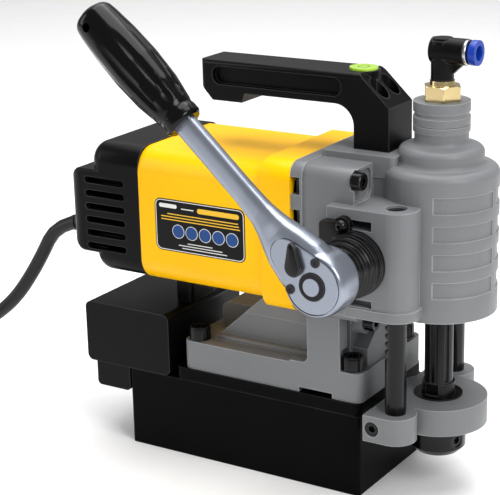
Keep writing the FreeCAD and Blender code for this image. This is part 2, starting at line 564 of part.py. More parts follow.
# ---------------------------------------------------------------- motor
def make_motor():
    flare_x = MOTOR_X1 - 20.0
    z = (MOTOR_Z - MOTOR_HALF_HEIGHT, MOTOR_Z + MOTOR_HALF_HEIGHT + 0.4)
    flare_z = (GEAR_Z, BODY_Z1)
    body = join([
        block((MOTOR_X0, flare_x + 1), (-MOTOR_HALF, MOTOR_HALF), z, 14.0, "x"),
        block((flare_x, MOTOR_X1 - 1), (-MOTOR_HALF - 1.5, MOTOR_HALF + 1.5), flare_z, 11.0, "x"),
    ])
    hollow = [
        block((MOTOR_X0 - 1, MOTOR_X1), (-MOTOR_HALF + SHELL, MOTOR_HALF - SHELL),
              (z[0] + SHELL, z[1] - SHELL), 11.0, "x"),
    ]
    label_x = (MOTOR_X0 + LABEL_X[0], MOTOR_X0 + LABEL_X[1])
    label_z = (MOTOR_Z + LABEL_Z[0], MOTOR_Z + LABEL_Z[1])
    seat = block(label_x, (-MOTOR_HALF - 1, -MOTOR_HALF + 0.5), label_z, 4.0, "y")
    NODES["motor_housing"] = carve(body, hollow + [seat])
    NODES["rating_plate"] = block(label_x, (-MOTOR_HALF - 0.2, -MOTOR_HALF + 0.5), label_z, 4.0, "y")

    stack = (MOTOR_X0 + STACK_SET, MOTOR_X0 + STACK_SET + STACK_LENGTH)
    field = rod("x", 0, MOTOR_Z, stack, FIELD_R).cut(rod("x", 0, MOTOR_Z, stack, ARMATURE_R + 0.6))
    seats = []
    for angle in (45, 135, 225, 315):
        spoke = block((stack[0], stack[1]), (-4, 4), (FIELD_R - 2, MOTOR_HALF + 12))
        spoke.rotate(V(0, 0, 0), V(1, 0, 0), angle)
        spoke.translate(V(0, 0, MOTOR_Z))
        seats.append(spoke)
    laminations = join([field] + seats).common(hollow[0])
    windings = [tube("x", 0, MOTOR_Z, (stack[0] - 8, stack[0]), FIELD_R - 2, ARMATURE_R + 3.0),
                tube("x", 0, MOTOR_Z, (stack[1], stack[1] + 8), FIELD_R - 2, ARMATURE_R + 3.0)]
    NODES["field_stator"] = group([laminations] + windings)

    make_rear_cap((z[0] + 0.8, z[1] + 0.6))

    brush_x = MOTOR_X0 + BRUSH_SET
    brush_half = BRUSH_WIDTH / 2
    brush_z = (MOTOR_Z - BRUSH_HEIGHT / 2, MOTOR_Z + BRUSH_HEIGHT / 2)
    holders = []
    brushes = []
    for sign in (-1, 1):
        low, high = sorted((sign * 14.5, sign * (MOTOR_HALF - SHELL)))
        holder = block((brush_x - 7, brush_x + 7), (low, high), (MOTOR_Z - 7, MOTOR_Z + 7))
        low, high = sorted((sign * 10.0, sign * 34.0))
        slot = block((brush_x - brush_half, brush_x + brush_half), (low, high), brush_z)
        holders.append(holder.cut(slot))
        low, high = sorted((sign * (COMMUTATOR_R + 0.1), sign * 30.0))
        brushes.append(block((brush_x - brush_half, brush_x + brush_half), (low, high), brush_z))
    commutator_space = rod("x", 0, MOTOR_Z, (brush_x - 9, brush_x + 9), COMMUTATOR_R + 0.1)
    NODES["brush_sets"] = group(holders + [b.cut(commutator_space) for b in brushes])

    shaft = [rod("x", 0, MOTOR_Z, (CAP_X0 + 12, MOTOR_X0 + 15), MOTOR_SHAFT_R - 1.0),
             rod("x", 0, MOTOR_Z, (MOTOR_X0 + 14, BODY_X0 + 2), MOTOR_SHAFT_R)]
    pinion = involute_gear(GEAR_MODULE, MOTOR_PINION_TEETH, 15.0, 0.25)
    pinion.rotate(V(0, 0, 0), V(0, 0, 1), 360.0 / MOTOR_PINION_TEETH / 2)
    NODES["armature_shaft"] = join(shaft + [place_gear(pinion, V(BODY_X0 + 1.0, 0, MOTOR_Z))])
    NODES["armature_core"] = tube("x", 0, MOTOR_Z, stack, ARMATURE_R, MOTOR_SHAFT_R)
    NODES["commutator"] = tube("x", 0, MOTOR_Z, (brush_x - 8, brush_x + 8), COMMUTATOR_R, 4.0).cut(
        rod("x", 0, MOTOR_Z, (MOTOR_X0 + 14, MOTOR_X0 + 30), MOTOR_SHAFT_R))
    fan_x = (stack[1] + 10.0, MOTOR_X1 - 5.0)
    blades = []
    for i in range(FAN_BLADES):
        blade = block(fan_x, (-1, 1), (8, MOTOR_HALF_HEIGHT - 8))
        blade.rotate(V(0, 0, 0), V(1, 0, 0), 360.0 / FAN_BLADES * i)
        blade.translate(V(0, 0, MOTOR_Z))
        blades.append(blade)
    disc = tube("x", 0, MOTOR_Z, (fan_x[0] - 1.5, fan_x[0] + 0.5), MOTOR_HALF_HEIGHT - 7.0, MOTOR_SHAFT_R)
    NODES["cooling_fan"] = join([disc, tube("x", 0, MOTOR_Z, fan_x, 9.0, MOTOR_SHAFT_R)] + blades)


def cap_screw_places():
    middle = MOTOR_Z + (VENT_RISE - VENT_DROP) / 2
    reach = (VENT_RISE + VENT_DROP) / 2 - 8.0
    return [(s * (MOTOR_HALF - 12.5), middle + t * reach) for s in (-1, 1) for t in (-1, 1)]


def rear_rounded(x0, z, radius):
    """A part of the cap from x0 to the motor, its corners and its rear edges rounded."""
    shape = block((x0, MOTOR_X0), (-MOTOR_HALF, MOTOR_HALF), z, min(14.0, radius + 2), "x")
    return shape.makeFillet(radius, [e for e in shape.Edges if abs(e.BoundBox.XMax - x0) < 0.01])


def make_rear_cap(z):
    """Black end cap: a rounded body, and a vented middle that stands out further to the rear."""
    middle_z = (MOTOR_Z - VENT_DROP, MOTOR_Z + VENT_RISE)
    body_x0 = CAP_X0 + CAP_SETBACK
    inside_y = MOTOR_HALF - SHELL
    wall = SHELL + 5.0
    vented = block((CAP_X0, MOTOR_X0), (-MOTOR_HALF, MOTOR_HALF), middle_z, 2.0, "x")
    upright = [e for e in vented.Edges if abs(e.BoundBox.XMax - CAP_X0) < 0.01 and e.BoundBox.ZLength > 20]
    vented = vented.makeFillet(VENT_CORNER, upright)
    cord_boss = rod("x", 0, CORD_Z, (CAP_X0, MOTOR_X0 - 5), 10.5)
    outside = join([rear_rounded(body_x0, z, 10.0), vented, cord_boss])
    inner = [block((body_x0 + wall, MOTOR_X0 + 1), (-inside_y, inside_y), (z[0] + SHELL, z[1] - SHELL),
                   11.0, "x"),
             block((CAP_X0 + wall, MOTOR_X0 + 1), (-inside_y, inside_y),
                   (middle_z[0] + SHELL, middle_z[1] - SHELL))]
    hollow = outside.cut(inner)
    seat = CAP_X0 + wall
    pillars = [rod("x", y, zz, (CAP_X0 + 2, MOTOR_X0), 6.0).common(outside) for y, zz in cap_screw_places()]
    hub = tube("x", 0, MOTOR_Z, (CAP_X0 + SHELL, CAP_X0 + 22), 15.0, 11.0).common(outside)
    shelf = block((CAP_X0 + SHELL, CAP_X0 + 22), (-5, 5), (MOTOR_Z + 13, middle_z[1] - 1))
    cuts = [rod("x", 0, CORD_Z, (CAP_X0 - 1, CAP_X0 + 8), 7.0)]
    for sign in (-1, 1):
        low, high = sorted((sign * (MOTOR_HALF + 1), sign * (MOTOR_HALF - 5)))
        for i in range(VENTS):
            mid = MOTOR_Z - 2.5 + VENT_PITCH * (i - (VENTS - 1) / 2)
            cuts.append(block((CAP_X0 + VENT_X[0], CAP_X0 + VENT_X[1]), (low, high), (mid - 2, mid + 2),
                              1.9, "y"))
    for y, zz in cap_screw_places():
        cuts.append(place(screw_hole(CAP_SCREW, CAP_SCREW_LENGTH + 15), V(seat, y, zz), V(-1, 0, 0)))
        cuts.append(rod("x", y, zz, (CAP_X0 - 1, seat), 4.6))
    NODES["rear_cap"] = carve(join([hollow, hub, shelf] + pillars), cuts)
    NODES["rear_cap_screws"] = group([place(cap_screw(CAP_SCREW, CAP_SCREW_LENGTH), V(seat, y, zz),
                                            V(-1, 0, 0))
                                      for y, zz in cap_screw_places()])


def place_gear(gear, at):
    """Turn a gear made about Z so that its axis is X and its first tooth direction is up."""
    moved = gear.copy()
    moved.rotate(V(0, 0, 0), V(0, 1, 0), -90)
    box = moved.BoundBox
    moved.translate(V(at.x - box.XMin, at.y, at.z))
    return moved


BEVEL_BACK = 24.0            # small bevel gear, behind the spindle axis


def make_reduction():
    gear = involute_gear(GEAR_MODULE, IDLER_TEETH, 12.0, 0.25)
    gear_x = BODY_X0 + 2.5
    bevel_x = SPINDLE_X - BEVEL_BACK
    shaft = [rod("x", 0, IDLER_Z, (BODY_X0 - 4.0, gear_x + 1), 3.0),
             rod("x", 0, IDLER_Z, (gear_x, bevel_x + 5.0), 5.0),
             place_gear(gear, V(gear_x, 0, IDLER_Z)),
             lathe([(0, 0), (8.4, 0), (7.4, 5.0), (0, 5.0)], V(bevel_x, 0, IDLER_Z), V(1, 0, 0))]
    NODES["idler_shaft"] = join(shaft)
    sleeve = tube("z", SPINDLE_X, 0, (SLEEVE_Z0, SLEEVE_Z1), SLEEVE_R, SHAFT_R + FIT)
    keys = [spline_key(i, (SLEEVE_Z0, SLEEVE_Z1), 2.6, SHAFT_R - 1.0, SHAFT_R + 1.0) for i in range(SPLINES)]
    crown = lathe([(SLEEVE_R - 1, CROWN_Z0), (22.5, CROWN_Z0), (22.5, CROWN_Z1 - 1.2), (17.0, CROWN_Z1),
                   (SLEEVE_R - 1, CROWN_Z1)], V(SPINDLE_X, 0, 0))
    NODES["drive_sleeve"] = join([sleeve, crown] + keys)


def spline_key(index, z, width, inner, outer):
    key = block((inner, outer), (-width / 2, width / 2), z)
    key.rotate(V(0, 0, 0), V(0, 0, 1), 360.0 / SPLINES * index + 30.0)
    key.translate(V(SPINDLE_X, 0, 0))
    return key


# ---------------------------------------------------------------- feed: pinions, racks, carrier
def make_pinion_shaft():
    thin = RACK_BACKLASH
    ends = (-WALL_Y - 21.0, WALL_Y)
    shaft = rod("y", PINION_X, PINION_Z, ends, PINION_SHAFT_R)
    square = DRIVE_SQUARE / 2 + 0.1
    socket = block((PINION_X - square, PINION_X + square), (ends[0] - 1, ends[0] + 14.0),
                   (PINION_Z - square, PINION_Z + square))
    socket.rotate(V(PINION_X, 0, PINION_Z), V(0, 1, 0), -RATCHET_ANGLE)
    NODES["pinion_shaft"] = carve(shaft, [socket])
    gears = []
    for sign in (-1, 1):
        gear = involute_gear(MODULE, PINION_TEETH, PINION_WIDTH, thin)
        gear.rotate(V(0, 0, 0), V(0, 0, 1), 360.0 / PINION_TEETH / 2)
        gear = place(gear, V(PINION_X, sign * PINION_Y + PINION_WIDTH / 2, PINION_Z), V(0, -1, 0))
        gears.append(gear.cut(rod("y", PINION_X, PINION_Z, (-99, 99), PINION_SHAFT_R)))
    NODES["feed_pinions"] = group(gears)


CARRIER_EAR_R = 12.0
CARRIER_REAR = 22.4
CARRIER_R = 28.0
BEARING_R = 18.0
CLAMP_SCREW = 5.0


def rack_rod(sign):
    """A round rod with rack teeth cut in its rear side; a tooth gap faces the pinion axis at rest."""
    y = sign * ROD_SPREAD
    z0 = CARRIER_Z0 + 0.5
    solid = rod("z", ROD_X, y, (z0, ROD_TOP), ROD_R)
    solid = solid.makeChamfer(0.8, [e for e in solid.Edges if abs(e.BoundBox.ZMin - ROD_TOP) < 0.01
                                    and abs(e.BoundBox.ZMax - ROD_TOP) < 0.01])
    pitch = math.pi * MODULE
    tip_x = RACK_PITCH_X - 0.95 * MODULE
    root_x = RACK_PITCH_X + 1.25 * MODULE
    slope = math.tan(math.radians(20))
    low = PINION_Z - STROKE_UP - 14.0
    cuts = [block((ROD_X - 9, tip_x), (y - 8, y + 8), (low, ROD_TOP + 1))]
    first = math.ceil((low - PINION_Z) / pitch)
    last = math.floor((ROD_TOP - PINION_Z) / pitch)
    for i in range(first, last + 1):
        # A pinion tooth fills this gap when it comes to the pinion axis.
        mid = PINION_Z + i * pitch + (pitch / 2)
        half = (pitch / 2 + RACK_BACKLASH) / 2
        at_tip = half + slope * (RACK_PITCH_X - tip_x + 1.0)
        at_root = half - slope * (root_x - RACK_PITCH_X)
        cuts.append(prism([(tip_x - 1.0, mid - at_tip), (tip_x - 1.0, mid + at_tip),
                           (root_x, mid + at_root), (root_x, mid - at_root)], (y - 8, y + 8)))
    return carve(solid, cuts)


def make_quill():
    ear_r = CARRIER_EAR_R
    rear_x = SPINDLE_X - CARRIER_REAR
    z = (CARRIER_Z0, CARRIER_Z1)
    solids = [rod("z", SPINDLE_X, 0, z, CARRIER_R),
              block((rear_x, ROD_X), (-ROD_SPREAD - ear_r, ROD_SPREAD + ear_r), z, 0.0)]
    for sign in (-1, 1):
        solids.append(rod("z", ROD_X, sign * ROD_SPREAD, z, ear_r))
    screw_x = ROD_X - 9.0
    mid = (z[0] + z[1]) / 2
    cuts = [rod("z", SPINDLE_X, 0, (z[0] - 1, z[1] - 2.0), BEARING_R),
            rod("z", SPINDLE_X, 0, (z[0], z[1] + 1), 14.0)]
    screws = []
    for sign in (-1, 1):
        cuts.append(rod("z", ROD_X, sign * ROD_SPREAD, (z[0] + 0.5, z[1] + 1), ROD_R))
        seat = V(screw_x, sign * (ROD_SPREAD + ear_r - 5.6), mid)
        face = V(0, sign, 0)
        cuts.append(place(rod("z", 0, 0, (0, 7), 4.45), seat, face))
        cuts.append(place(screw_hole(CLAMP_SCREW, 20.0), seat, face))
        screws.append(place(cap_screw(CLAMP_SCREW, 18.0), seat, face))
        cuts.append(block((rear_x - 1, ROD_X - ROD_R + 1),
                          sorted((sign * (ROD_SPREAD - 0.8), sign * (ROD_SPREAD + 0.8))),
                          (z[0] - 1, z[1] + 1)))
    NODES["spindle_carrier"] = carve(join(solids), cuts)
    NODES["carrier_clamp_screws"] = group(screws)
    NODES["rack_rods"] = group([rack_rod(-1), rack_rod(1)])
    NODES["spindle_bearing"] = tube("z", SPINDLE_X, 0, (z[0] + 2.0, z[1] - 2.0), BEARING_R, 13.0 + FIT)
    NODES["spindle_seal"] = tube("z", SPINDLE_X, 0, (z[1] - 2.0, z[1] + 0.8), 14.0, 9.4 + GAP)


def make_spindle():
    journal = (CARRIER_Z0 - 0.3, CARRIER_Z1 - 2.4)
    shaft = join([
        rod("z", SPINDLE_X, 0, (journal[0], journal[1]), 13.0),
        rod("z", SPINDLE_X, 0, (journal[1] - 1, CARRIER_Z1 + 8.0), 9.4),
        rod("z", SPINDLE_X, 0, (CARRIER_Z1, SHAFT_TOP), SHAFT_R),
    ])
    arbor_top = ARBOR_Z0 + ARBOR_DEPTH
    cuts = [rod("z", SPINDLE_X, 0, (journal[0] - 1, arbor_top), ARBOR_BORE_R),
            rod("z", SPINDLE_X, 0, (arbor_top - 1, SHAFT_TOP + 1), 3.0)]
    cuts += [spline_key(i, (CARRIER_Z1 + 8.5, SHAFT_TOP + 1), 2.9, SHAFT_R - 1.2, SHAFT_R + 1)
             for i in range(SPLINES)]
    for sign in (-1, 1):
        flat = block((SPINDLE_X - 12, SPINDLE_X + 12), sorted((sign * 8.5, sign * 12)),
                     (CARRIER_Z1 + 1.2, CARRIER_Z1 + 9))
        cuts.append(flat)
    NODES["spindle_shaft"] = carve(shaft, cuts)
    collar_z1 = CARRIER_Z0 - 0.3
    collar = lathe([(ARBOR_BORE_R, ARBOR_Z0), (ARBOR_R - 3.5, ARBOR_Z0), (ARBOR_R, ARBOR_Z0 + 3.5),
                    (ARBOR_R, collar_z1), (ARBOR_BORE_R, collar_z1)], V(SPINDLE_X, 0, 0))
    holes = []
    screws = []
    set_z = ARBOR_Z0 + 9.0
    for angle in (-20.0, 70.0):
        direction = V(math.cos(math.radians(angle)), math.sin(math.radians(angle)), 0)
        start = V(SPINDLE_X, 0, set_z) + direction * (ARBOR_BORE_R - 0.5)
        holes.append(Part.makeCylinder(4.0, 10.0, start, direction))
        at = V(SPINDLE_X, 0, set_z) + direction * (ARBOR_R - 0.8)
        plug = rod("z", 0, 0, (-5.2, 0), 4.0).cut(place(hexagon(4.0, 4.0), V(0, 0, -2.6)))
        screws.append(place(plug, at, direction))
    NODES["arbor_collar"] = carve(collar, holes)
    NODES["arbor_set_screws"] = group(screws)


# ---------------------------------------------------------------- ratchet
def swing(shape, angle=RATCHET_ANGLE):
    """Turn a ratchet piece made along +X about the pinion axis into its parked direction."""
    moved = shape.copy()
    moved.rotate(V(0, 0, 0), V(0, 1, 0), -angle)
    moved.translate(V(PINION_X, 0, PINION_Z))
    return moved


COVER_SCREWS = ((7.5, 11.2), (7.5, -11.2))
LEVER_AT = 13.8              # lever pivot, out from the drive axis
LEVER_LIFT = 0.9             # the lever swings clear of the screw heads
LEVER_R = 5.0
LEVER_REACH = 11.4
COLLAR_R = 7.6               # black ring round the release button
BUTTON_R = 4.8
COVER_R = 15.6
COVER_NOSE_R = 9.0
COVER_REACH = 22.0


RATCHET_GEAR_R = 11.0
SHANK = (4.0, 6.8)           # half thickness and half height of the flat shank
LEVER_PIN_R = 3.0
COVER_SCREW_R = 1.5


def make_ratchet():
    y = (RATCHET_Y0, RATCHET_Y1)
    mid_y = (y[0] + y[1]) / 2
    grip_start = RATCHET_REACH - GRIP_LENGTH
    head = rod("y", 0, 0, y, RATCHET_R)
    neck = Part.Face(Part.makePolygon([V(0, y[0], -17.4), V(26, y[0], -15.5), V(46, y[0], -7.4),
                                       V(46, y[0], 7.4),
                                       V(26, y[0], 15.5), V(0, y[0], 17.4), V(0, y[0], -17.4)])).extrude(
        V(0, RATCHET_THICKNESS - 3.0, 0))
    shank = block((40, grip_start + 12), (mid_y - SHANK[0], mid_y + SHANK[0]), (-SHANK[1], SHANK[1]), 3.0,
                  "x")
    body = join([head, neck, shank])
    cavity = rod("y", 0, 0, (y[0] + 4.0, y[1] - 2.0), RATCHET_GEAR_R + GAP)
    mouth = rod("y", 0, 0, (y[1] - 3.0, y[1] + 1), 8.0 + GAP)
    face_hole = rod("y", 0, 0, (y[0] - 1, y[0] + 5), COLLAR_R + GAP)
    lever_hole = rod("y", LEVER_AT, 0, (y[0] - 1, y[0] + 6.0), LEVER_PIN_R + FIT)
    lever_hole_in = rod("y", LEVER_AT, 0, (y[0] + 1.0, y[0] + 4.0), LEVER_PIN_R + FIT)
    screw_holes = [rod("y", x, z, (y[0] - 1, y[0] + 6), COVER_SCREW_R + FIT) for x, z in COVER_SCREWS]
    recess = ratchet_cover_outline((y[0] - 1, y[0] + 1.5), 0.0)
    NODES["ratchet_head"] = swing(carve(body, [cavity, mouth, face_hole, lever_hole_in, recess]
                                        + screw_holes))
    cover = ratchet_cover_outline((y[0], y[0] + 1.5), 0.15)
    cover = swing(carve(cover, [face_hole, lever_hole] + screw_holes))
    cover_screws = []
    for x, z in COVER_SCREWS:
        screw = rod("y", x, z, (y[0] - 0.8, y[0]),
                    2.4).fuse(rod("y", x, z, (y[0], y[0] + 5.5), COVER_SCREW_R))
        cover_screws.append(swing(screw.cut(rod("y", x, z, (y[0] - 1, y[0] - 0.2), 1.0))))
    NODES["ratchet_cover"] = group([cover] + cover_screws)

    profile = [(0, grip_start), (9.5, grip_start), (11.0, grip_start + 2), (11.0, grip_start + 7),
               (13.6, grip_start + 24), (14.5, grip_start + 42), (13.9, grip_start + 60),
               (12.3, grip_start + 76), (9.0, grip_start + 82), (4.0, RATCHET_REACH), (0, RATCHET_REACH)]
    grip = lathe(profile, V(0, mid_y, 0), V(1, 0, 0))
    tang = block((grip_start - 1, grip_start + 12), (mid_y - SHANK[0], mid_y + SHANK[0]),
                 (-SHANK[1], SHANK[1]), 3.0, "x")
    hang = rod("y", RATCHET_REACH - 9.0, 0, (mid_y - 20, mid_y + 20), 2.6)
    NODES["ratchet_grip"] = swing(carve(grip, [tang, hang]))

    square = DRIVE_SQUARE / 2
    drive = join([rod("y", 0, 0, (y[0] - 0.6, y[0] + 5.0), COLLAR_R),
                  rod("y", 0, 0, (y[0] + 4.0 + GAP, y[1] - 2.0 - GAP), RATCHET_GEAR_R),
                  rod("y", 0, 0, (y[1] - 4.0, y[1] + 0.6), 7.8),
                  block((-square, square), (y[1], y[1] + 13.0), (-square, square))])
    drive = carve(drive, [rod("y", 0, 0, (y[0] - 1, y[0] + 12.0), BUTTON_R + FIT)])
    NODES["ratchet_drive"] = swing(drive)
    button = rod("y", 0, 0, (y[0] - 1.4, y[0] + 8.5), BUTTON_R)
    NODES["release_button"] = swing(button)

    lever_y = (y[0] - LEVER_LIFT - 3.0, y[0] - LEVER_LIFT)
    lever = join([rod("y", 0, 0, lever_y, LEVER_R),
                  block((-1, LEVER_REACH + 2.2), lever_y, (-2.2, 2.2), 2.0, "y"),
                  rod("y", 0, 0, (y[0] - 1, y[0] + 3.8), LEVER_PIN_R)])
    lever.rotate(V(0, 0, 0), V(0, 1, 0), RATCHET_ANGLE - LEVER_ANGLE)
    lever.translate(V(LEVER_AT, 0, 0))
    NODES["reversing_lever"] = swing(lever)


def ratchet_cover_outline(y, inset):
    """The teardrop cover let into the ratchet's face."""
    disc = rod("y", 0, 0, y, COVER_R - inset)
    nose = rod("y", COVER_REACH, 0, y, COVER_NOSE_R - inset)
    lean = math.asin((COVER_R - COVER_NOSE_R) / COVER_REACH)
    near = V((COVER_R - inset) * math.sin(lean), y[0], (COVER_R - inset) * math.cos(lean))
    far = V(COVER_REACH + (COVER_NOSE_R - inset) * math.sin(lean), y[0],
            (COVER_NOSE_R - inset) * math.cos(lean))
    web = Part.Face(Part.makePolygon([V(near.x, y[0], -near.z), V(far.x, y[0], -far.z), far, near,
                                      V(near.x, y[0], -near.z)])).extrude(V(0, y[1] - y[0], 0))
    return join([disc, nose, web])


# ---------------------------------------------------------------- carry handle
def make_handle():
    z0 = HANDLE_Z0
    z1 = HANDLE_Z1
    bar_z = z1 - HANDLE_BAR
    half = HANDLE_WIDTH / 2
    chamfer_x = LEG_X1 - 19.0
    outline = [(HANDLE_X0, z1), (chamfer_x, z1), (LEG_X1, bar_z), (LEG_X1, z0), (LEG_X0, z0),
               (LEG_X0, bar_z),
               (HANDLE_X0 + 30, bar_z), (HANDLE_X0 + 28, bar_z - 5.5),
               (HANDLE_X0 + 8, bar_z - 5.5), (HANDLE_X0, bar_z + 3)]
    solid = prism(outline, (-half, half))
    bend = HANDLE_BEND
    fillet = rod("y", LEG_X0 - bend, bar_z - bend, (-half - 1, half + 1), bend)
    corner = block((LEG_X0 - bend, LEG_X0 + 0.01), (-half, half), (bar_z - bend, bar_z + 0.01)).cut(fillet)
    vial_x = LEG_X0 - 1.0
    vial_floor = z1 - 4.5
    seat = z0 + 14.5
    vial_boss = rod("z", vial_x, 0, (bar_z + 2, z1), VIAL_R + 1.4)
    solid = join([solid, corner])
    sides = [e for e in solid.Edges if len(e.Vertexes) == 2
             and abs(abs(e.BoundBox.YMin) - half) < 0.01 and e.BoundBox.YLength < 0.01
             and e.BoundBox.ZMin > bar_z - 6 and e.BoundBox.XMax < chamfer_x + 1 and e.Length > 10
             and abs(e.BoundBox.ZMax - z1) < 0.01]
    solid = join([solid.makeFillet(3.0, sides), vial_boss])
    cuts = []
    for sign in (-1, 1):
        low, high = sorted((sign * half, sign * (half - 4.0)))
        cuts.append(block((HANDLE_X0 + 8, LEG_X0 - 8), (low, high), (bar_z + 4, z1 - 3.4), 5.0, "y"))
        cuts.append(rod("z", HANDLE_BOLT_X, sign * HANDLE_BOLT_Y, (seat, z1 + 1), 5.4))
        cuts.append(rod("z", HANDLE_BOLT_X, sign * HANDLE_BOLT_Y, (z0 - 1, seat + 1), GEARBOX_BOLT / 2
                        + FIT))
    cuts.append(rod("z", vial_x, 0, (vial_floor, z1 + 1), VIAL_R))
    NODES["carry_handle"] = carve(solid, cuts)
    NODES["handle_bolts"] = group([place(cap_screw(GEARBOX_BOLT, 21.0),
                                         V(HANDLE_BOLT_X, sign * HANDLE_BOLT_Y, seat))
                                   for sign in (-1, 1)])
    NODES["bubble_level"] = rod("z", vial_x, 0, (vial_floor, z1 + 1.3), VIAL_R)


# ---------------------------------------------------------------- control box
START_Y = 8.0
STOP_Y = 26.0
BUTTON_Z = MAGNET_HEIGHT + 20.0
ROCKER_Y = -20.0


BUTTON_CAP_R = 6.0
LAMP_Y = -2.0
LAMP_R = 2.5


def make_control_box():
    x = (BOX_X0, BOX_X1)
    y = (-MAGNET_WIDTH / 2, MAGNET_WIDTH / 2)
    z = (MAGNET_HEIGHT, BOX_Z1)
    panel_t = 3.0
    shell = join([block(x, y, z, 4.0, "y"),
                  block((BOX_X0 + 6, -MAGNET_FRONT - 1), (y[0] + 1, y[1] - 1), (z[0] - 16, z[0] + 8), 3.0,
                        "y")])
    inner = block((x[0] + panel_t, x[1] - SHELL), (y[0] + SHELL, y[1] - SHELL), (z[0] + SHELL, z[1] - SHELL))
    well = block((BOX_X0 + 9, -MAGNET_FRONT - 4), (y[0] + 4, y[1] - 4), (z[0] - 13, z[0] + 4))
    opening = block((x[0] - 1, x[0] + panel_t + 1), (y[0] + 5, y[1] - 5), (z[0] + 5, z[1] - 5), 3.0, "x")
    cable_hole = block((DUCT_X[0] + 2, DUCT_X[1] - 2), (-10, 10), (z[1] - SHELL - 1, z[1] + 1))
    NODES["control_box"] = carve(shell, [inner, well, opening, cable_hole])
    panel = block((x[0] - 0.6, x[0] + panel_t), (y[0] + 5, y[1] - 5), (z[0] + 5, z[1] - 5), 3.0, "x")
    holes = [rod("x", START_Y, BUTTON_Z, (x[0] - 2, x[0] + 5), BUTTON_CAP_R + GAP),
             rod("x", STOP_Y, BUTTON_Z, (x[0] - 2, x[0] + 5), BUTTON_CAP_R + GAP),
             block((x[0] - 2, x[0] + 5), (ROCKER_Y - 6.5, ROCKER_Y + 6.5), (BUTTON_Z - 10, BUTTON_Z + 10)),
             rod("x", LAMP_Y, BUTTON_Z, (x[0] - 2, x[0] + 5), LAMP_R)]
    NODES["control_panel"] = carve(panel, holes)
    NODES["power_lamp"] = rod("x", LAMP_Y, BUTTON_Z, (x[0] - 1.6, x[0] + 5), LAMP_R)
    for name, yy in (("start_button", START_Y), ("stop_button", STOP_Y)):
        NODES[name] = rod("x", yy, BUTTON_Z, (x[0] - 4.6, x[0] + 6.0), BUTTON_CAP_R)
    switch_face = x[0] + 9.0
    switches = block((switch_face, switch_face + 14), (ROCKER_Y - 8, STOP_Y + 8),
                     (z[0] + SHELL, BUTTON_Z + 11))
    board = block((switch_face + 22, x[1] - SHELL), (y[0] + SHELL, y[1] - SHELL),
                  (z[0] + SHELL + 6, z[0] + SHELL + 7.6))
    NODES["control_electronics"] = group([switches, board])
    rocker = Part.Face(Part.makePolygon([
        V(x[0] + 1.0, 0, -9.4), V(x[0] - 3.6, 0, -9.4), V(x[0] - 1.4, 0, 0), V(x[0] - 2.2, 0, 9.4),
        V(x[0] + 1.0, 0, 9.4), V(x[0] + 6.0, 0, 3.0), V(x[0] + 6.0, 0, -3.0),
        V(x[0] + 1.0, 0, -9.4)])).extrude(V(0, 12.0, 0))
    rocker.translate(V(0, ROCKER_Y - 6.0, BUTTON_Z))
    NODES["magnet_rocker"] = rocker
    duct = block(DUCT_X, (-14, 14), (BOX_Z1, MOTOR_Z - MOTOR_HALF_HEIGHT), 3.0)
    NODES["wire_duct"] = duct.cut(block((DUCT_X[0] + 2, DUCT_X[1] - 2), (-12, 12),
                                        (BOX_Z1 - 1, GEAR_Z + 20)))


DUCT_X = (MOTOR_X0 + 2.0, MOTOR_X0 + 14.0)


# ---------------------------------------------------------------- coolant feed
ELBOW_Z0 = NECK_Z1 + 11.3
BARREL_Z = NECK_Z1 + 27.0
BARREL_X1 = SPINDLE_X + 14.5
TUBE_R = 4.05
NUT_FLATS = 19.0


NUT_HEIGHT = 8.3
WATERWAY_R = 2.5
COLLET_R = 5.2


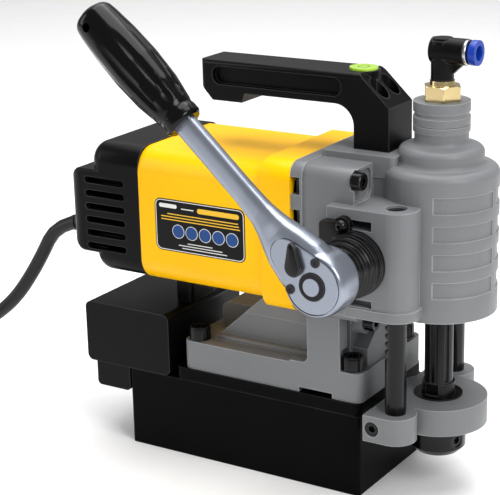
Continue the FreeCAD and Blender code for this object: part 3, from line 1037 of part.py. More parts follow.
def make_coolant():
    z = NECK_Z1
    nut = hexagon(NUT_FLATS, NUT_HEIGHT)
    corner = NUT_FLATS / math.sqrt(3) - 0.1
    nut = nut.common(lathe([(0, 0), (corner - 0.9, 0), (corner, 0.8), (corner, NUT_HEIGHT - 0.8),
                            (corner - 0.9, NUT_HEIGHT),
                             (0, NUT_HEIGHT)],
                           V(0, 0, 0)))
    nut.translate(V(SPINDLE_X, 0, z))
    adapter = join([nut, rod("z", SPINDLE_X, 0, (z - 7.9, z + 1), 6.5),
                    rod("z", SPINDLE_X, 0, (z + 8, z + 11), 6.9),
                    rod("z", SPINDLE_X, 0, (z + 10, z + 19.0), 4.0)])
    NODES["coolant_adapter"] = carve(adapter, [rod("z", SPINDLE_X, 0, (z - 9, z + 20), WATERWAY_R)])
    upright = rod("z", SPINDLE_X, 0, (ELBOW_Z0, BARREL_Z + 5.5), 6.35)
    dome = rod("z", SPINDLE_X, 0, (BARREL_Z + 5.4, BARREL_Z + 7.0), 5.4)
    barrel = rod("x", 0, BARREL_Z, (SPINDLE_X - 5.5, BARREL_X1), 7.15)
    web = prism([(SPINDLE_X, BARREL_Z - 13), (SPINDLE_X + 6, BARREL_Z - 13), (BARREL_X1 - 1, BARREL_Z - 6),
                 (BARREL_X1 - 1, BARREL_Z), (SPINDLE_X, BARREL_Z)], (-1.6, 1.6))
    cuts = [rod("z", SPINDLE_X, 0, (ELBOW_Z0 - 1, z + 19.2), 4.0 + FIT),
            rod("z", SPINDLE_X, 0, (z + 19, BARREL_Z), WATERWAY_R),
            rod("x", 0, BARREL_Z, (SPINDLE_X, BARREL_X1 + 1), WATERWAY_R),
            rod("x", 0, BARREL_Z, (BARREL_X1 - 11, BARREL_X1 + 1), COLLET_R)]
    ring = tube("x", 0, BARREL_Z, (BARREL_X1 - 1, BARREL_X1 + 1.6), 6.6, COLLET_R)
    NODES["elbow_body"] = join([carve(join([upright, dome, barrel, web]), cuts), ring])
    collar = join([tube("x", 0, BARREL_Z, (BARREL_X1 + 2.9, BARREL_X1 + 7.0), 6.95, TUBE_R),
                   tube("x", 0, BARREL_Z, (BARREL_X1 - 6.0, BARREL_X1 + 3.5), COLLET_R - FIT, TUBE_R)])
    NODES["release_collar"] = collar


# ---------------------------------------------------------------- mains cord
CORD_Z = MOTOR_Z - 22.5
CORD_START = (CAP_X0 + 6.0, 0.0, CORD_Z)
CORD_ROUTE = [
    CORD_START,
    (-160.0, 0.6, 126.8),
    (-184.0, 0.4, 86.0),
    (-207.0, -1.2, 56.5),
    (-239.0, -0.8, 36.0),
    (-263.0, 0.8, 14.0),
    (-286.0, 1.9, 4.5),
    (-308.0, 1.0, 4.5),
]
COIL_X = -318.0
COIL_Y = -62.0
COIL_MEAN_R = 50.0
COIL_COLUMNS = 4
COIL_LAYERS = 2
PLUG_TURN = 25.0             # degrees off -X where the lead leaves the coil
PLUG_LEAD = 38.0
PLUG_LENGTH = 43.0
PLUG_R = 13.5
PIN_R = 2.4
PIN_PLACES = ((0, -9.5), (0, 9.5), (4.0, 0))


def cord_path(points):
    """Straight runs joined by the largest tangent arcs that the runs allow."""
    corners = [V(*p) for p in points]
    edges = []
    radii = []
    position = corners[0]
    for before, corner, after in zip(corners, corners[1:], corners[2:]):
        run_in = (corner - before)
        run_out = (after - corner)
        shorter = min(run_in.Length, run_out.Length)
        unit_in = run_in.normalize()
        unit_out = run_out.normalize()
        turn = unit_in.getAngle(unit_out)
        reach = 0.45 * shorter
        radii.append(reach / math.tan(turn / 2))
        start = corner - unit_in * reach
        end = corner + unit_out * reach
        bisector = (unit_out - unit_in).normalize()
        centre = corner + bisector * (radii[-1] / math.cos(turn / 2))
        middle = centre - bisector * radii[-1]
        edges.append(Part.LineSegment(position, start).toShape())
        edges.append(Part.Arc(start, middle, end).toShape())
        position = end
    edges.append(Part.LineSegment(position, corners[-1]).toShape())
    print("cord arc radii:", [round(r) for r in radii])
    return Part.Wire(edges)


def make_cord():
    relief = lathe([(CORD_D / 2, -6), (7.0, -6), (7.0, 0), (8.6, 0), (8.6, 2.5), (7.4, 4), (5.4, 30),
                    (CORD_D / 2, 30)],
                   V(CAP_X0, 0, CORD_Z), V(-1, 0, 0))
    NODES["strain_relief"] = relief
    path = cord_path(CORD_ROUTE)
    first = V(*CORD_ROUTE[1]) - V(*CORD_ROUTE[0])
    section = Part.Wire(Part.Circle(V(*CORD_ROUTE[0]), first, CORD_D / 2).toShape())
    cord = path.makePipeShell([section], True, False)
    print("cord length", round(path.Length, 1), "volume ratio",
          round(cord.Volume / (math.pi * CORD_D ** 2 / 4 * path.Length), 4))
    outer = COIL_MEAN_R + COIL_COLUMNS * CORD_D / 2
    inner = COIL_MEAN_R - COIL_COLUMNS * CORD_D / 2
    coil = tube("z", COIL_X, COIL_Y, (0, COIL_LAYERS * CORD_D), outer, inner)
    NODES["cord_coil"] = coil
    NODES["mains_cord"] = cord.cut(coil)
    turns = COIL_COLUMNS * COIL_LAYERS
    print("coil turns", turns, "length", round(2 * math.pi * COIL_MEAN_R * turns))

    # The plug lies beside the coil, where the last turn leaves it at a tangent.
    leave = math.radians(PLUG_TURN)
    direction = V(-math.cos(leave), math.sin(leave), 0)
    tangent_r = outer - CORD_D / 2
    start = V(COIL_X + tangent_r * math.sin(leave), COIL_Y + tangent_r * math.cos(leave), 1.5 * CORD_D)
    plug = lathe([(0, 0), (7.0, 0), (8.0, 14), (12.5, 22), (PLUG_R, 27), (PLUG_R, PLUG_LENGTH),
                  (0, PLUG_LENGTH)],
                 V(0, 0, 0))
    pins = []
    for x, y in PIN_PLACES:
        pins.append(rod("z", x, y, (PLUG_LENGTH - 5.0, PLUG_LENGTH + 19.0), PIN_R))
    plug = plug.cut([rod("z", x, y, (PLUG_LENGTH - 5.0, PLUG_LENGTH + 1.0), PIN_R) for x, y in PIN_PLACES])
    at = start + direction * PLUG_LEAD
    tail = Part.makeCylinder(CORD_D / 2, PLUG_LEAD + 2.0, start, direction)
    NODES["plug_body"] = join([place(plug, at, direction), tail]).cut(coil)
    NODES["plug_pins"] = group([place(p, at, direction) for p in pins])


def build():
    make_magnet()
    make_gearbox()
    make_feed_hub()
    make_motor()
    make_reduction()
    make_pinion_shaft()
    make_quill()
    make_spindle()
    make_ratchet()
    make_handle()
    make_control_box()
    make_coolant()
    make_cord()
    os.makedirs("parts", exist_ok=True)
    for name, shape in NODES.items():
        solids = shape.Solids
        print(f"{name:24s} solids {len(solids):2d} volume {shape.Volume:11.1f} valid {shape.isValid()}")
        shape.exportStep(os.path.join("parts", name + ".step"))


build()
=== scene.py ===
"""Looks of the magnetic drill press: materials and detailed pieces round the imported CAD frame."""
import json
import math

import bmesh
import bpy
from mathutils import Matrix, Vector


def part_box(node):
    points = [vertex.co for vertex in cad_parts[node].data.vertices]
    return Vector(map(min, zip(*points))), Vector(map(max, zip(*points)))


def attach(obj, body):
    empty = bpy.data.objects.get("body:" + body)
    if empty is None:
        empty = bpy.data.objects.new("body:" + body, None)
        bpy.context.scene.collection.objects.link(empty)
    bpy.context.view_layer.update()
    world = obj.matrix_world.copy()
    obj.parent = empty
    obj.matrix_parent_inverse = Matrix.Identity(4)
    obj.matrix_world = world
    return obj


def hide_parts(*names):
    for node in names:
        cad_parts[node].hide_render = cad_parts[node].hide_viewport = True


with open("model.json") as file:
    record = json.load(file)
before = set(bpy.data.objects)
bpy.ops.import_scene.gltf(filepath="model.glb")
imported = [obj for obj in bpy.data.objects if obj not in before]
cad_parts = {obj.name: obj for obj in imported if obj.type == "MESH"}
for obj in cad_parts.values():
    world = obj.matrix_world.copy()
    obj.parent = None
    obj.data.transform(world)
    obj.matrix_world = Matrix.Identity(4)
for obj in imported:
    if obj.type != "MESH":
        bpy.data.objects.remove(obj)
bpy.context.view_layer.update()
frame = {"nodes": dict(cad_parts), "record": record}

MM = 0.001
nodes = frame["nodes"]
scene = bpy.context.scene
scene.view_settings.view_transform = "Standard"


# ---------------------------------------------------------------- camera
CAMERA_LENS = 115.6          # millimetres on a 36 mm sensor
CAMERA_PLACE = (0.4795, -0.7773, 0.4117)
CAMERA_RIGHT = (0.8470, 0.5311, -0.0230)
CAMERA_UP = (-0.1395, 0.2637, 0.9545)
CAMERA_BACK = (0.5130, -0.8052, 0.2974)


def add_camera():
    """A long lens at the viewing distance, 32.5 degrees round and 17 degrees up."""
    data = bpy.data.cameras.new("camera")
    data.sensor_width = 36.0
    data.lens = CAMERA_LENS
    data.clip_start = 0.01
    data.clip_end = 20.0
    camera = bpy.data.objects.new("camera", data)
    scene.collection.objects.link(camera)
    axes = [Vector(axis) for axis in (CAMERA_RIGHT, CAMERA_UP, CAMERA_BACK)]
    turn = Matrix(axes).transposed().to_4x4()
    camera.matrix_world = Matrix.Translation(CAMERA_PLACE) @ turn
    scene.camera = camera


add_camera()


# ---------------------------------------------------------------- helpers
def link(obj, body, material):
    """Puts a new object in the scene, on a body, with its material."""
    if obj.name not in scene.collection.objects:
        scene.collection.objects.link(obj)
    obj.data.materials.clear()
    obj.data.materials.append(material)
    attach(obj, body)


def mesh_object(name, build):
    """A mesh object whose bmesh is filled by the given function."""
    mesh = bpy.data.meshes.new(name)
    bm = bmesh.new()
    build(bm)
    bmesh.ops.recalc_face_normals(bm, faces=bm.faces)
    bm.to_mesh(mesh)
    bm.free()
    return bpy.data.objects.new(name, mesh)


def shade(obj, angle=35.0):
    """Smooth shading, with creases sharper than the angle kept."""
    mesh = obj.data
    for polygon in mesh.polygons:
        polygon.use_smooth = True
    bm = bmesh.new()
    bm.from_mesh(mesh)
    limit = math.radians(angle)
    for edge in bm.edges:
        edge.smooth = not (len(edge.link_faces) == 2 and edge.calc_face_angle(0.0) > limit)
    bm.to_mesh(mesh)
    bm.free()


def loft(bm, rings, caps=True):
    """Faces between closed rings of points, with the ends filled if asked."""
    loops = [[bm.verts.new(p) for p in ring] for ring in rings]
    count = len(loops[0])
    for a, b in zip(loops, loops[1:]):
        for i in range(count):
            j = (i + 1) % count
            bm.faces.new((a[i], a[j], b[j], b[i]))
    if caps:
        bm.faces.new(list(reversed(loops[0])))
        bm.faces.new(loops[-1])
    return loops


def lathe_rings(profile, segments, matrix):
    """Rings of a turned outline of (radius, height) about the matrix's Z axis."""
    rings = []
    for radius, height in profile:
        rings.append([matrix @ Vector((radius * math.cos(2 * math.pi * i / segments),
                                       radius * math.sin(2 * math.pi * i / segments), height))
                      for i in range(segments)])
    return rings


def aim(at, direction):
    """A matrix that moves the origin to a place and turns +Z to a direction."""
    return Matrix.Translation(at) @ Vector(direction).to_track_quat("Z", "Y").to_matrix().to_4x4()


def apply_modifiers(obj):
    """Bakes the object's modifiers into its mesh."""
    if obj.name not in scene.collection.objects:
        scene.collection.objects.link(obj)
    bpy.context.view_layer.update()
    evaluated = obj.evaluated_get(bpy.context.evaluated_depsgraph_get())
    mesh = bpy.data.meshes.new_from_object(evaluated)
    obj.modifiers.clear()
    obj.data = mesh


def cut_away(obj, tool, name):
    """Cuts the tool's shape out of the object, then removes the tool."""
    scene.collection.objects.link(tool)
    cut = obj.modifiers.new(name, "BOOLEAN")
    cut.operation = "DIFFERENCE"
    cut.object = tool
    cut.solver = "EXACT"
    apply_modifiers(obj)
    bpy.data.objects.remove(tool)


def teardrop(y, big, tip, reach, steps):
    """A ring of points round a large arc and a small one that lies further along, at one depth."""
    lean = math.asin((big - tip) / reach)
    ring = []
    for k in range(steps + 1):
        a = math.pi / 2 - lean + (math.pi + 2 * lean) * k / steps
        ring.append(Vector((big * math.cos(a), y, big * math.sin(a))))
    half = steps // 2
    for k in range(half + 1):
        a = -math.pi / 2 + lean + (math.pi - 2 * lean) * k / half
        ring.append(Vector((reach + tip * math.cos(a), y, tip * math.sin(a))))
    return ring


def rounded(x0, x1, z0, z1, r, count=6):
    """A rectangle with round corners, as (across, up) points."""
    outline = []
    corners = ((x1 - r, z0 + r, -90), (x1 - r, z1 - r, 0), (x0 + r, z1 - r, 90), (x0 + r, z0 + r, 180))
    for cx, cz, start in corners:
        for k in range(count + 1):
            a = math.radians(start + 90.0 * k / count)
            outline.append((cx + r * math.cos(a), cz + r * math.sin(a)))
    return outline


# ---------------------------------------------------------------- materials
def srgb(red, green, blue):
    """Linear colour from 0-255 display values."""
    def linear(value):
        value /= 255.0
        return value / 12.92 if value <= 0.04045 else ((value + 0.055) / 1.055) ** 2.4
    return (linear(red), linear(green), linear(blue), 1.0)


def mixed(colour, factor):
    """The colour made lighter or darker."""
    return tuple(min(1.0, c * factor) for c in colour[:3]) + (1.0,)


BLOTCH_SCALE = 28.0
# Band of lighter colour along edges: painted highlight, partly real wear.
EDGE_WEAR_AND_HIGHLIGHT_WIDTH = 0.7             # millimetres either side of an edge


def surface(name, colour, roughness, metallic=0.0, grain=900.0, relief=0.04, mottle=0.08, spread=0.06,
            edge=None, edge_amount=0.0, coat=0.0, specular=0.5):
    """A procedural finish: grain bump, mottled colour, uneven gloss and lighter edges that are painted
    highlight, partly real wear; relief in millimetres.
    """
    material = bpy.data.materials.new(name)
    material.use_nodes = True
    tree = material.node_tree
    shader = tree.nodes["Principled BSDF"]
    shader.inputs["Metallic"].default_value = metallic
    shader.inputs["Coat Weight"].default_value = coat
    shader.inputs["Coat Roughness"].default_value = 0.15
    shader.inputs["Specular IOR Level"].default_value = specular
    place = tree.nodes.new("ShaderNodeTexCoord")
    source = place.outputs["Object"]

    blotches = tree.nodes.new("ShaderNodeTexNoise")
    blotches.inputs["Scale"].default_value = BLOTCH_SCALE
    blotches.inputs["Detail"].default_value = 5.0
    tree.links.new(source, blotches.inputs["Vector"])
    tones = tree.nodes.new("ShaderNodeValToRGB")
    tones.color_ramp.elements[0].position = 0.3
    tones.color_ramp.elements[0].color = mixed(colour, 1.0 - mottle)
    tones.color_ramp.elements[1].position = 0.72
    tones.color_ramp.elements[1].color = mixed(colour, 1.0 + mottle)
    tree.links.new(blotches.outputs["Fac"], tones.inputs["Fac"])

    fine = tree.nodes.new("ShaderNodeTexNoise")
    fine.inputs["Scale"].default_value = grain
    fine.inputs["Detail"].default_value = 3.0
    tree.links.new(source, fine.inputs["Vector"])
    gloss = tree.nodes.new("ShaderNodeMapRange")
    gloss.inputs["From Min"].default_value = 0.25
    gloss.inputs["From Max"].default_value = 0.75
    gloss.inputs["To Min"].default_value = max(0.02, roughness - spread)
    gloss.inputs["To Max"].default_value = min(1.0, roughness + spread)
    both = tree.nodes.new("ShaderNodeMath")
    both.operation = "MULTIPLY_ADD"
    both.inputs[1].default_value = 0.5
    tree.links.new(fine.outputs["Fac"], both.inputs[0])
    half = tree.nodes.new("ShaderNodeMath")
    half.operation = "MULTIPLY"
    half.inputs[1].default_value = 0.5
    tree.links.new(blotches.outputs["Fac"], half.inputs[0])
    tree.links.new(half.outputs["Value"], both.inputs[2])
    tree.links.new(both.outputs["Value"], gloss.inputs["Value"])

    bump = tree.nodes.new("ShaderNodeBump")
    bump.inputs["Strength"].default_value = 0.35
    bump.inputs["Distance"].default_value = relief * MM
    tree.links.new(fine.outputs["Fac"], bump.inputs["Height"])
    tree.links.new(bump.outputs["Normal"], shader.inputs["Normal"])

    colour_out = tones.outputs["Color"]
    # Lighter colour along edges, broken up by the blotches: painted highlight, partly real wear.
    if edge is not None:
        corner = tree.nodes.new("ShaderNodeBevel")
        corner.samples = 4
        corner.inputs["Radius"].default_value = EDGE_WEAR_AND_HIGHLIGHT_WIDTH * MM
        shape = tree.nodes.new("ShaderNodeNewGeometry")
        dot = tree.nodes.new("ShaderNodeVectorMath")
        dot.operation = "DOT_PRODUCT"
        tree.links.new(corner.outputs["Normal"], dot.inputs[0])
        tree.links.new(shape.outputs["Normal"], dot.inputs[1])
        wear_and_highlight = tree.nodes.new("ShaderNodeMapRange")
        wear_and_highlight.inputs["From Min"].default_value = 0.999
        wear_and_highlight.inputs["From Max"].default_value = 0.96
        wear_and_highlight.inputs["To Max"].default_value = edge_amount
        tree.links.new(dot.outputs["Value"], wear_and_highlight.inputs["Value"])
        broken = tree.nodes.new("ShaderNodeMath")
        broken.operation = "MULTIPLY"
        tree.links.new(wear_and_highlight.outputs["Result"], broken.inputs[0])
        tree.links.new(blotches.outputs["Fac"], broken.inputs[1])
        blend = tree.nodes.new("ShaderNodeMix")
        blend.data_type = "RGBA"
        blend.inputs["B"].default_value = edge
        tree.links.new(broken.outputs["Value"], blend.inputs["Factor"])
        tree.links.new(colour_out, blend.inputs["A"])
        colour_out = blend.outputs["Result"]
    tree.links.new(colour_out, shader.inputs["Base Color"])
    tree.links.new(gloss.outputs["Result"], shader.inputs["Roughness"])
    return material


# Each edge colour below is lighter than its base: painted highlight along the edges, partly real wear.
CASTING = surface("casting_grey", srgb(112, 114, 116), 0.42, grain=1400, relief=0.06, mottle=0.035,
                  edge=srgb(190, 192, 194), edge_amount=1.0, specular=0.35)
MAGNET = surface("magnet_black", srgb(6, 6, 6), 0.45, grain=1500, relief=0.03, mottle=0.25,
                 edge=srgb(80, 80, 82), edge_amount=0.5, specular=0.04)
BLACK_STEEL = surface("black_steel", srgb(6, 6, 7), 0.22, grain=1200, relief=0.02, mottle=0.2,
                      edge=srgb(110, 110, 114), edge_amount=0.5, specular=0.25)
STEEL = surface("bright_steel", srgb(180, 182, 186), 0.26, metallic=1.0, grain=1500, relief=0.01,
                mottle=0.06)
CHROME = surface("ratchet_chrome", srgb(146, 152, 164), 0.3, metallic=0.85, grain=2200, relief=0.012,
                 mottle=0.03,
                 spread=0.04)
YELLOW = surface("yellow_shell", srgb(255, 190, 0), 0.34, grain=1500, relief=0.03, mottle=0.02,
                 edge=srgb(255, 214, 90), edge_amount=0.25, specular=0.14)
BLACK_PLASTIC = surface("black_plastic", srgb(7, 7, 8), 0.34, grain=1800, relief=0.06, mottle=0.15,
                        edge=srgb(120, 120, 122), edge_amount=0.5, specular=0.1)
GRIP = surface("grip_black", srgb(3, 3, 4), 0.16, grain=700, relief=0.02, mottle=0.15, specular=0.22)
LABEL = surface("label", srgb(6, 6, 7), 0.33, grain=900, relief=0.01, mottle=0.1, specular=0.15)
LABEL_PALE = surface("label_pale", srgb(226, 226, 222), 0.4, grain=900, relief=0.01, mottle=0.03)
LABEL_BLUE = surface("label_blue", srgb(30, 70, 130), 0.4, grain=900, relief=0.01, mottle=0.05, specular=0.2)
LABEL_YELLOW = surface("label_yellow", srgb(236, 184, 20), 0.4, grain=900, relief=0.01, mottle=0.04)
COPPER = surface("copper", srgb(184, 110, 70), 0.35, metallic=1.0, grain=600, relief=0.1, mottle=0.1)
POTTING = surface("potting", srgb(40, 38, 36), 0.5, grain=300, relief=0.1, mottle=0.15)
BRASS = surface("brass", srgb(228, 204, 150), 0.16, metallic=1.0, grain=1600, relief=0.015, mottle=0.08,
                edge=srgb(248, 232, 190), edge_amount=0.6)
BLUE = surface("blue_plastic", srgb(8, 52, 150), 0.3, grain=1500, relief=0.01, mottle=0.05, coat=0.1,
               specular=0.3)
LIME = surface("lime_vial", srgb(170, 214, 50), 0.16, grain=500, relief=0.01, mottle=0.06, coat=0.6)
RUBBER = surface("cord_rubber", srgb(12, 12, 13), 0.4, grain=1800, relief=0.04, mottle=0.12, specular=0.3)
GREEN = surface("green_button", srgb(30, 132, 60), 0.3, grain=1500, relief=0.01, mottle=0.05, coat=0.2)
RED = surface("red_button", srgb(190, 30, 26), 0.3, grain=1500, relief=0.01, mottle=0.05, coat=0.2)

FINISHES = {
    "casting_grey": CASTING, "magnet_black": MAGNET, "black_steel": BLACK_STEEL, "bright_steel": STEEL,
    "ratchet_chrome": CHROME, "yellow_shell": YELLOW, "black_plastic": BLACK_PLASTIC, "grip_black": GRIP,
    "label": LABEL, "copper": COPPER, "potting": POTTING, "brass": BRASS, "blue_plastic": BLUE,
    "lime_vial": LIME, "cord_rubber": RUBBER, "green_button": GREEN, "red_button": RED,
}
SLOT_OF = {part["node"]: part["material_slot"] for part in frame["record"]["subparts"]}


COLLAR_EASE = 0.08 * MM


def dress_nodes():
    """Every CAD node takes the finish of its slot."""
    for name, obj in nodes.items():
        finish = FINISHES[SLOT_OF[name]]
        obj.data.materials.clear()
        obj.data.materials.append(finish)
    nodes["ratchet_drive"].data.materials[0] = BLACK_STEEL
    nodes["commutator"].data.materials[0] = COPPER


def round_edges(name, width):
    """Breaks a CAD node's sharp edges with a bevel modifier."""
    obj = nodes[name]
    weld = obj.modifiers.new("weld", "WELD")
    weld.merge_threshold = 0.01 * MM
    bevel = obj.modifiers.new("bevel", "BEVEL")
    bevel.width = width * MM
    bevel.segments = 3
    bevel.limit_method = "ANGLE"
    bevel.angle_limit = math.radians(40.0)
    bevel.harden_normals = True
    bevel.use_clamp_overlap = True


def ease_collar():
    """The release collar slides in the elbow, so it is drawn a little smaller all round."""
    ease = nodes["release_collar"].modifiers.new("ease", "DISPLACE")
    ease.strength = -COLLAR_EASE
    ease.mid_level = 0.0


EDGE_WIDTHS = {
    "magnet_core": 0.8, "magnet_top_plate": 1.2, "base_casting": 0.9, "gearbox_housing": 0.8,
    "bearing_plate": 0.8, "motor_housing": 0.8, "rear_cap": 0.8, "control_box": 1.2, "control_panel": 0.6,
    "carry_handle": 1.6, "spindle_carrier": 1.0, "arbor_collar": 0.4, "wire_duct": 0.8, "feed_hub": 0.5,
    "elbow_body": 0.4, "release_collar": 0.3, "coolant_adapter": 0.3, "reversing_lever": 0.9,
    "release_button": 0.3, "start_button": 0.8, "stop_button": 0.8, "magnet_rocker": 0.6,
    "spindle_shaft": 0.25, "rack_rods": 0.25, "pinion_end_cover": 0.6, "bubble_level": 0.5,
    "ratchet_drive": 0.3,
}

dress_nodes()
for node_name, edge_width in EDGE_WIDTHS.items():
    round_edges(node_name, edge_width)
ease_collar()

# ---------------------------------------------------------------- cord
CORD_D = 9.0
CORD_ROUTE = [
    (-112.0, 0.0, 126.5), (-160.0, 0.6, 126.8), (-184.0, 0.4, 86.0), (-207.0, -1.2, 56.5),
    (-239.0, -0.8, 36.0),
    (-263.0, 0.8, 14.0), (-286.0, 1.9, 4.5), (-308.0, 1.0, 4.5),
]
COIL_CENTRE = (-318.0, -62.0)
COIL_MEAN_R = 50.0
COIL_COLUMNS = 4
PLUG_TURN = 25.0            # the plug's lead leaves the coil this far off the -X axis
POINTS_PER_TURN = 16
LEAD_STEPS = (14.0, 28.0, 42.0)     # points of the lead from the coil to the plug
PLUG_LEAD = 20.0            # where the plug's neck starts along that lead
OUTER_TURN_R = COIL_MEAN_R + (COIL_COLUMNS - 1) * CORD_D / 2
INNER_TURN_R = COIL_MEAN_R - (COIL_COLUMNS - 1) * CORD_D / 2
CLIMB_SHARE = 0.35          # part of a turn in which the cord climbs to the upper layer


def coil_point(turn):
    """A point of the winding: inwards on the floor layer, then outwards on the layer above."""
    inward = COIL_COLUMNS - 1
    if turn < inward:
        radius = OUTER_TURN_R - CORD_D * turn
    elif turn < inward + 1:
        radius = INNER_TURN_R
    else:
        radius = min(OUTER_TURN_R, INNER_TURN_R + CORD_D * (turn - inward - 1))
    climb = min(1.0, max(0.0, (turn - inward) / CLIMB_SHARE))
    height = CORD_D / 2 + CORD_D * climb
    angle = math.pi / 2 + 2 * math.pi * turn
    return (COIL_CENTRE[0] + radius * math.cos(angle), COIL_CENTRE[1] + radius * math.sin(angle), height)


def plug_frame():
    """Where the lead leaves the coil, and its direction."""
    turn = math.radians(PLUG_TURN)
    start = Vector((COIL_CENTRE[0] + OUTER_TURN_R * math.sin(turn),
                    COIL_CENTRE[1] + OUTER_TURN_R * math.cos(turn),
                    1.5 * CORD_D))
    return start, Vector((-math.cos(turn), math.sin(turn), 0.0))


def cord_points():
    """Control points of the whole cord: the route, the coil's turns and the lead to the plug."""
    points = list(CORD_ROUTE)
    total = 2 * COIL_COLUMNS - PLUG_TURN / 360.0
    steps = round(total * POINTS_PER_TURN)
    points += [coil_point(total * i / steps) for i in range(1, steps + 1)]
    start, direction = plug_frame()
    points += [tuple(start + direction * reach) for reach in LEAD_STEPS]
    return points


def add_cord():
    """The mains cord as one NURBS curve."""
    data = bpy.data.curves.new("mains_lead", "CURVE")
    data.dimensions = "3D"
    data.resolution_u = 6
    data.bevel_depth = CORD_D / 2 * MM
    data.bevel_resolution = 6
    data.use_fill_caps = True
    spline = data.splines.new("NURBS")
    points = cord_points()
    spline.points.add(len(points) - 1)
    for point, place in zip(spline.points, points):
        point.co = (place[0] * MM, place[1] * MM, place[2] * MM, 1.0)
    spline.order_u = 3
    spline.use_endpoint_u = True
    cord = bpy.data.objects.new("mains_lead", data)
    link(cord, "root", RUBBER)
    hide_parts("mains_cord", "cord_coil")
    return cord


def cord_line(cord):
    """The points that the cord's NURBS line passes through."""
    bare = cord.data.copy()
    bare.bevel_depth = 0.0
    line = bpy.data.objects.new("line", bare)
    scene.collection.objects.link(line)
    bpy.context.view_layer.update()
    mesh = bpy.data.meshes.new_from_object(line)
    points = [v.co.copy() for v in mesh.vertices]
    bpy.data.objects.remove(line)
    return points


lead = add_cord()
lead_line = cord_line(lead)


def tube_along(bm, path, radii):
    """Rings along a path, each with its own radius."""
    segments = 28
    rings = []
    side = Vector((0, 1, 0))
    for i, point in enumerate(path):
        ahead = path[min(i + 1, len(path) - 1)] - path[max(i - 1, 0)]
        tangent = ahead.normalized()
        across = (side - tangent * side.dot(tangent)).normalized()
        over = tangent.cross(across)
        rings.append([point + across * (radii[i] * math.cos(2 * math.pi * k / segments))
                      + over * (radii[i] * math.sin(2 * math.pi * k / segments)) for k in range(segments)])
    loft(bm, rings)


def resample(points, step, length):
    """Evenly spaced points along the first stretch of a line."""
    out = [points[0].copy()]
    walked = 0.0
    for a, b in zip(points, points[1:]):
        run = (b - a).length
        while walked + run >= len(out) * step and len(out) * step <= length:
            out.append(a.lerp(b, (len(out) * step - walked) / run))
        walked += run
    return out


RELIEF_LENGTH = 38.0
RELIEF_STEP = 0.5
RELIEF_NECK = 6.0           # inside the cap
RELIEF_COLLAR = 8.5         # end of the flange
RELIEF_RIB_PITCH = 3.4
RELIEF_GROOVE = 1.3
RELIEF_GROOVE_DEPTH = 0.9
RELIEF_RIBS = (10.0, 35.0)  # where the ribs start and stop
RELIEF_NECK_R = 7.0
RELIEF_COLLAR_R = 8.6
RELIEF_TAPER = (7.3, 5.0)   # radius after the flange and at the thin end


def relief_radius(along):
    """The sleeve's radius at a distance along the cord."""
    if along < RELIEF_NECK:
        return RELIEF_NECK_R
    if along < RELIEF_COLLAR:
        return RELIEF_COLLAR_R
    share = (along - RELIEF_COLLAR) / (RELIEF_LENGTH - RELIEF_COLLAR)
    radius = RELIEF_TAPER[0] + (RELIEF_TAPER[1] - RELIEF_TAPER[0]) * share
    ribbed = RELIEF_RIBS[0] < along < RELIEF_RIBS[1]
    if ribbed and along % RELIEF_RIB_PITCH < RELIEF_GROOVE:
        radius -= RELIEF_GROOVE_DEPTH
    return radius


def add_strain_relief():
    """A ribbed rubber sleeve that follows the cord out of the rear cap and tapers onto it."""
    step = RELIEF_STEP * MM
    path = resample(lead_line, step, RELIEF_LENGTH * MM)
    radii = [relief_radius(i * step / MM) * MM for i in range(len(path))]
    relief = mesh_object("cord_sleeve", lambda bm: tube_along(bm, path, radii))
    shade(relief, 50)
    link(relief, "root", RUBBER)
    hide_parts("strain_relief")


def add_plug():
    """A moulded three-pin plug with a ribbed neck."""
    start, direction = plug_frame()
    matrix = aim((start + direction * PLUG_LEAD) * MM, direction) @ Matrix.Scale(MM, 4)
    profile = [(4.6, 0), (5.6, 0.4)]
    for i in range(5):
        base = 1.5 + 3.0 * i
        profile += [(5.9 + 0.2 * i, base), (5.9 + 0.2 * i, base + 1.6), (5.0 + 0.2 * i, base + 1.9),
                    (5.0 + 0.2 * i, base + 2.7)]
    profile += [(7.0, 18), (8.2, 32), (12.3, 40), (13.3, 44), (13.3, 59.0), (12.3, 61.0), (0.01, 61.0)]
    plug = mesh_object("plug", lambda bm: loft(bm, lathe_rings(profile, 48, matrix), caps=False))
    shade(plug, 40)
    link(plug, "root", RUBBER)
    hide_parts("plug_body")
    return plug


TIE_ANGLE = 200.0
TIE_WIDTH = 12.0
TIE_THICKNESS = 0.8
TIE_CORNER = 3.0
TIE_SLACK = 0.6


def add_coil_tie():
    """A flat strap round the bundle of turns."""
    outer = COIL_MEAN_R + COIL_COLUMNS * CORD_D / 2
    inner = COIL_MEAN_R - COIL_COLUMNS * CORD_D / 2
    top = 2 * CORD_D
    angle = math.radians(TIE_ANGLE)
    along = Vector((-math.sin(angle), math.cos(angle), 0))
    outward = Vector((math.cos(angle), math.sin(angle), 0))
    centre = Vector((COIL_CENTRE[0], COIL_CENTRE[1], 0))
    loop = rounded(inner, outer, 0.0, top + TIE_SLACK, TIE_CORNER, 4)

    def build(bm):
        rings = []
        for offset in (-TIE_WIDTH / 2, TIE_WIDTH / 2):
            rings.append([(centre + outward * r + along * offset + Vector((0, 0, z))) * MM for r, z in loop])
        loft(bm, rings, caps=False)
    tie = mesh_object("cord_tie", build)
    solid = tie.modifiers.new("thickness", "SOLIDIFY")
    solid.thickness = TIE_THICKNESS * MM
    solid.offset = -1.0
    shade(tie, 60)
    link(tie, "root", BLACK_PLASTIC)
    return tie


add_strain_relief()
plug_piece = add_plug()
tie_piece = add_coil_tie()


# ---------------------------------------------------------------- screws
KNURLS = 24


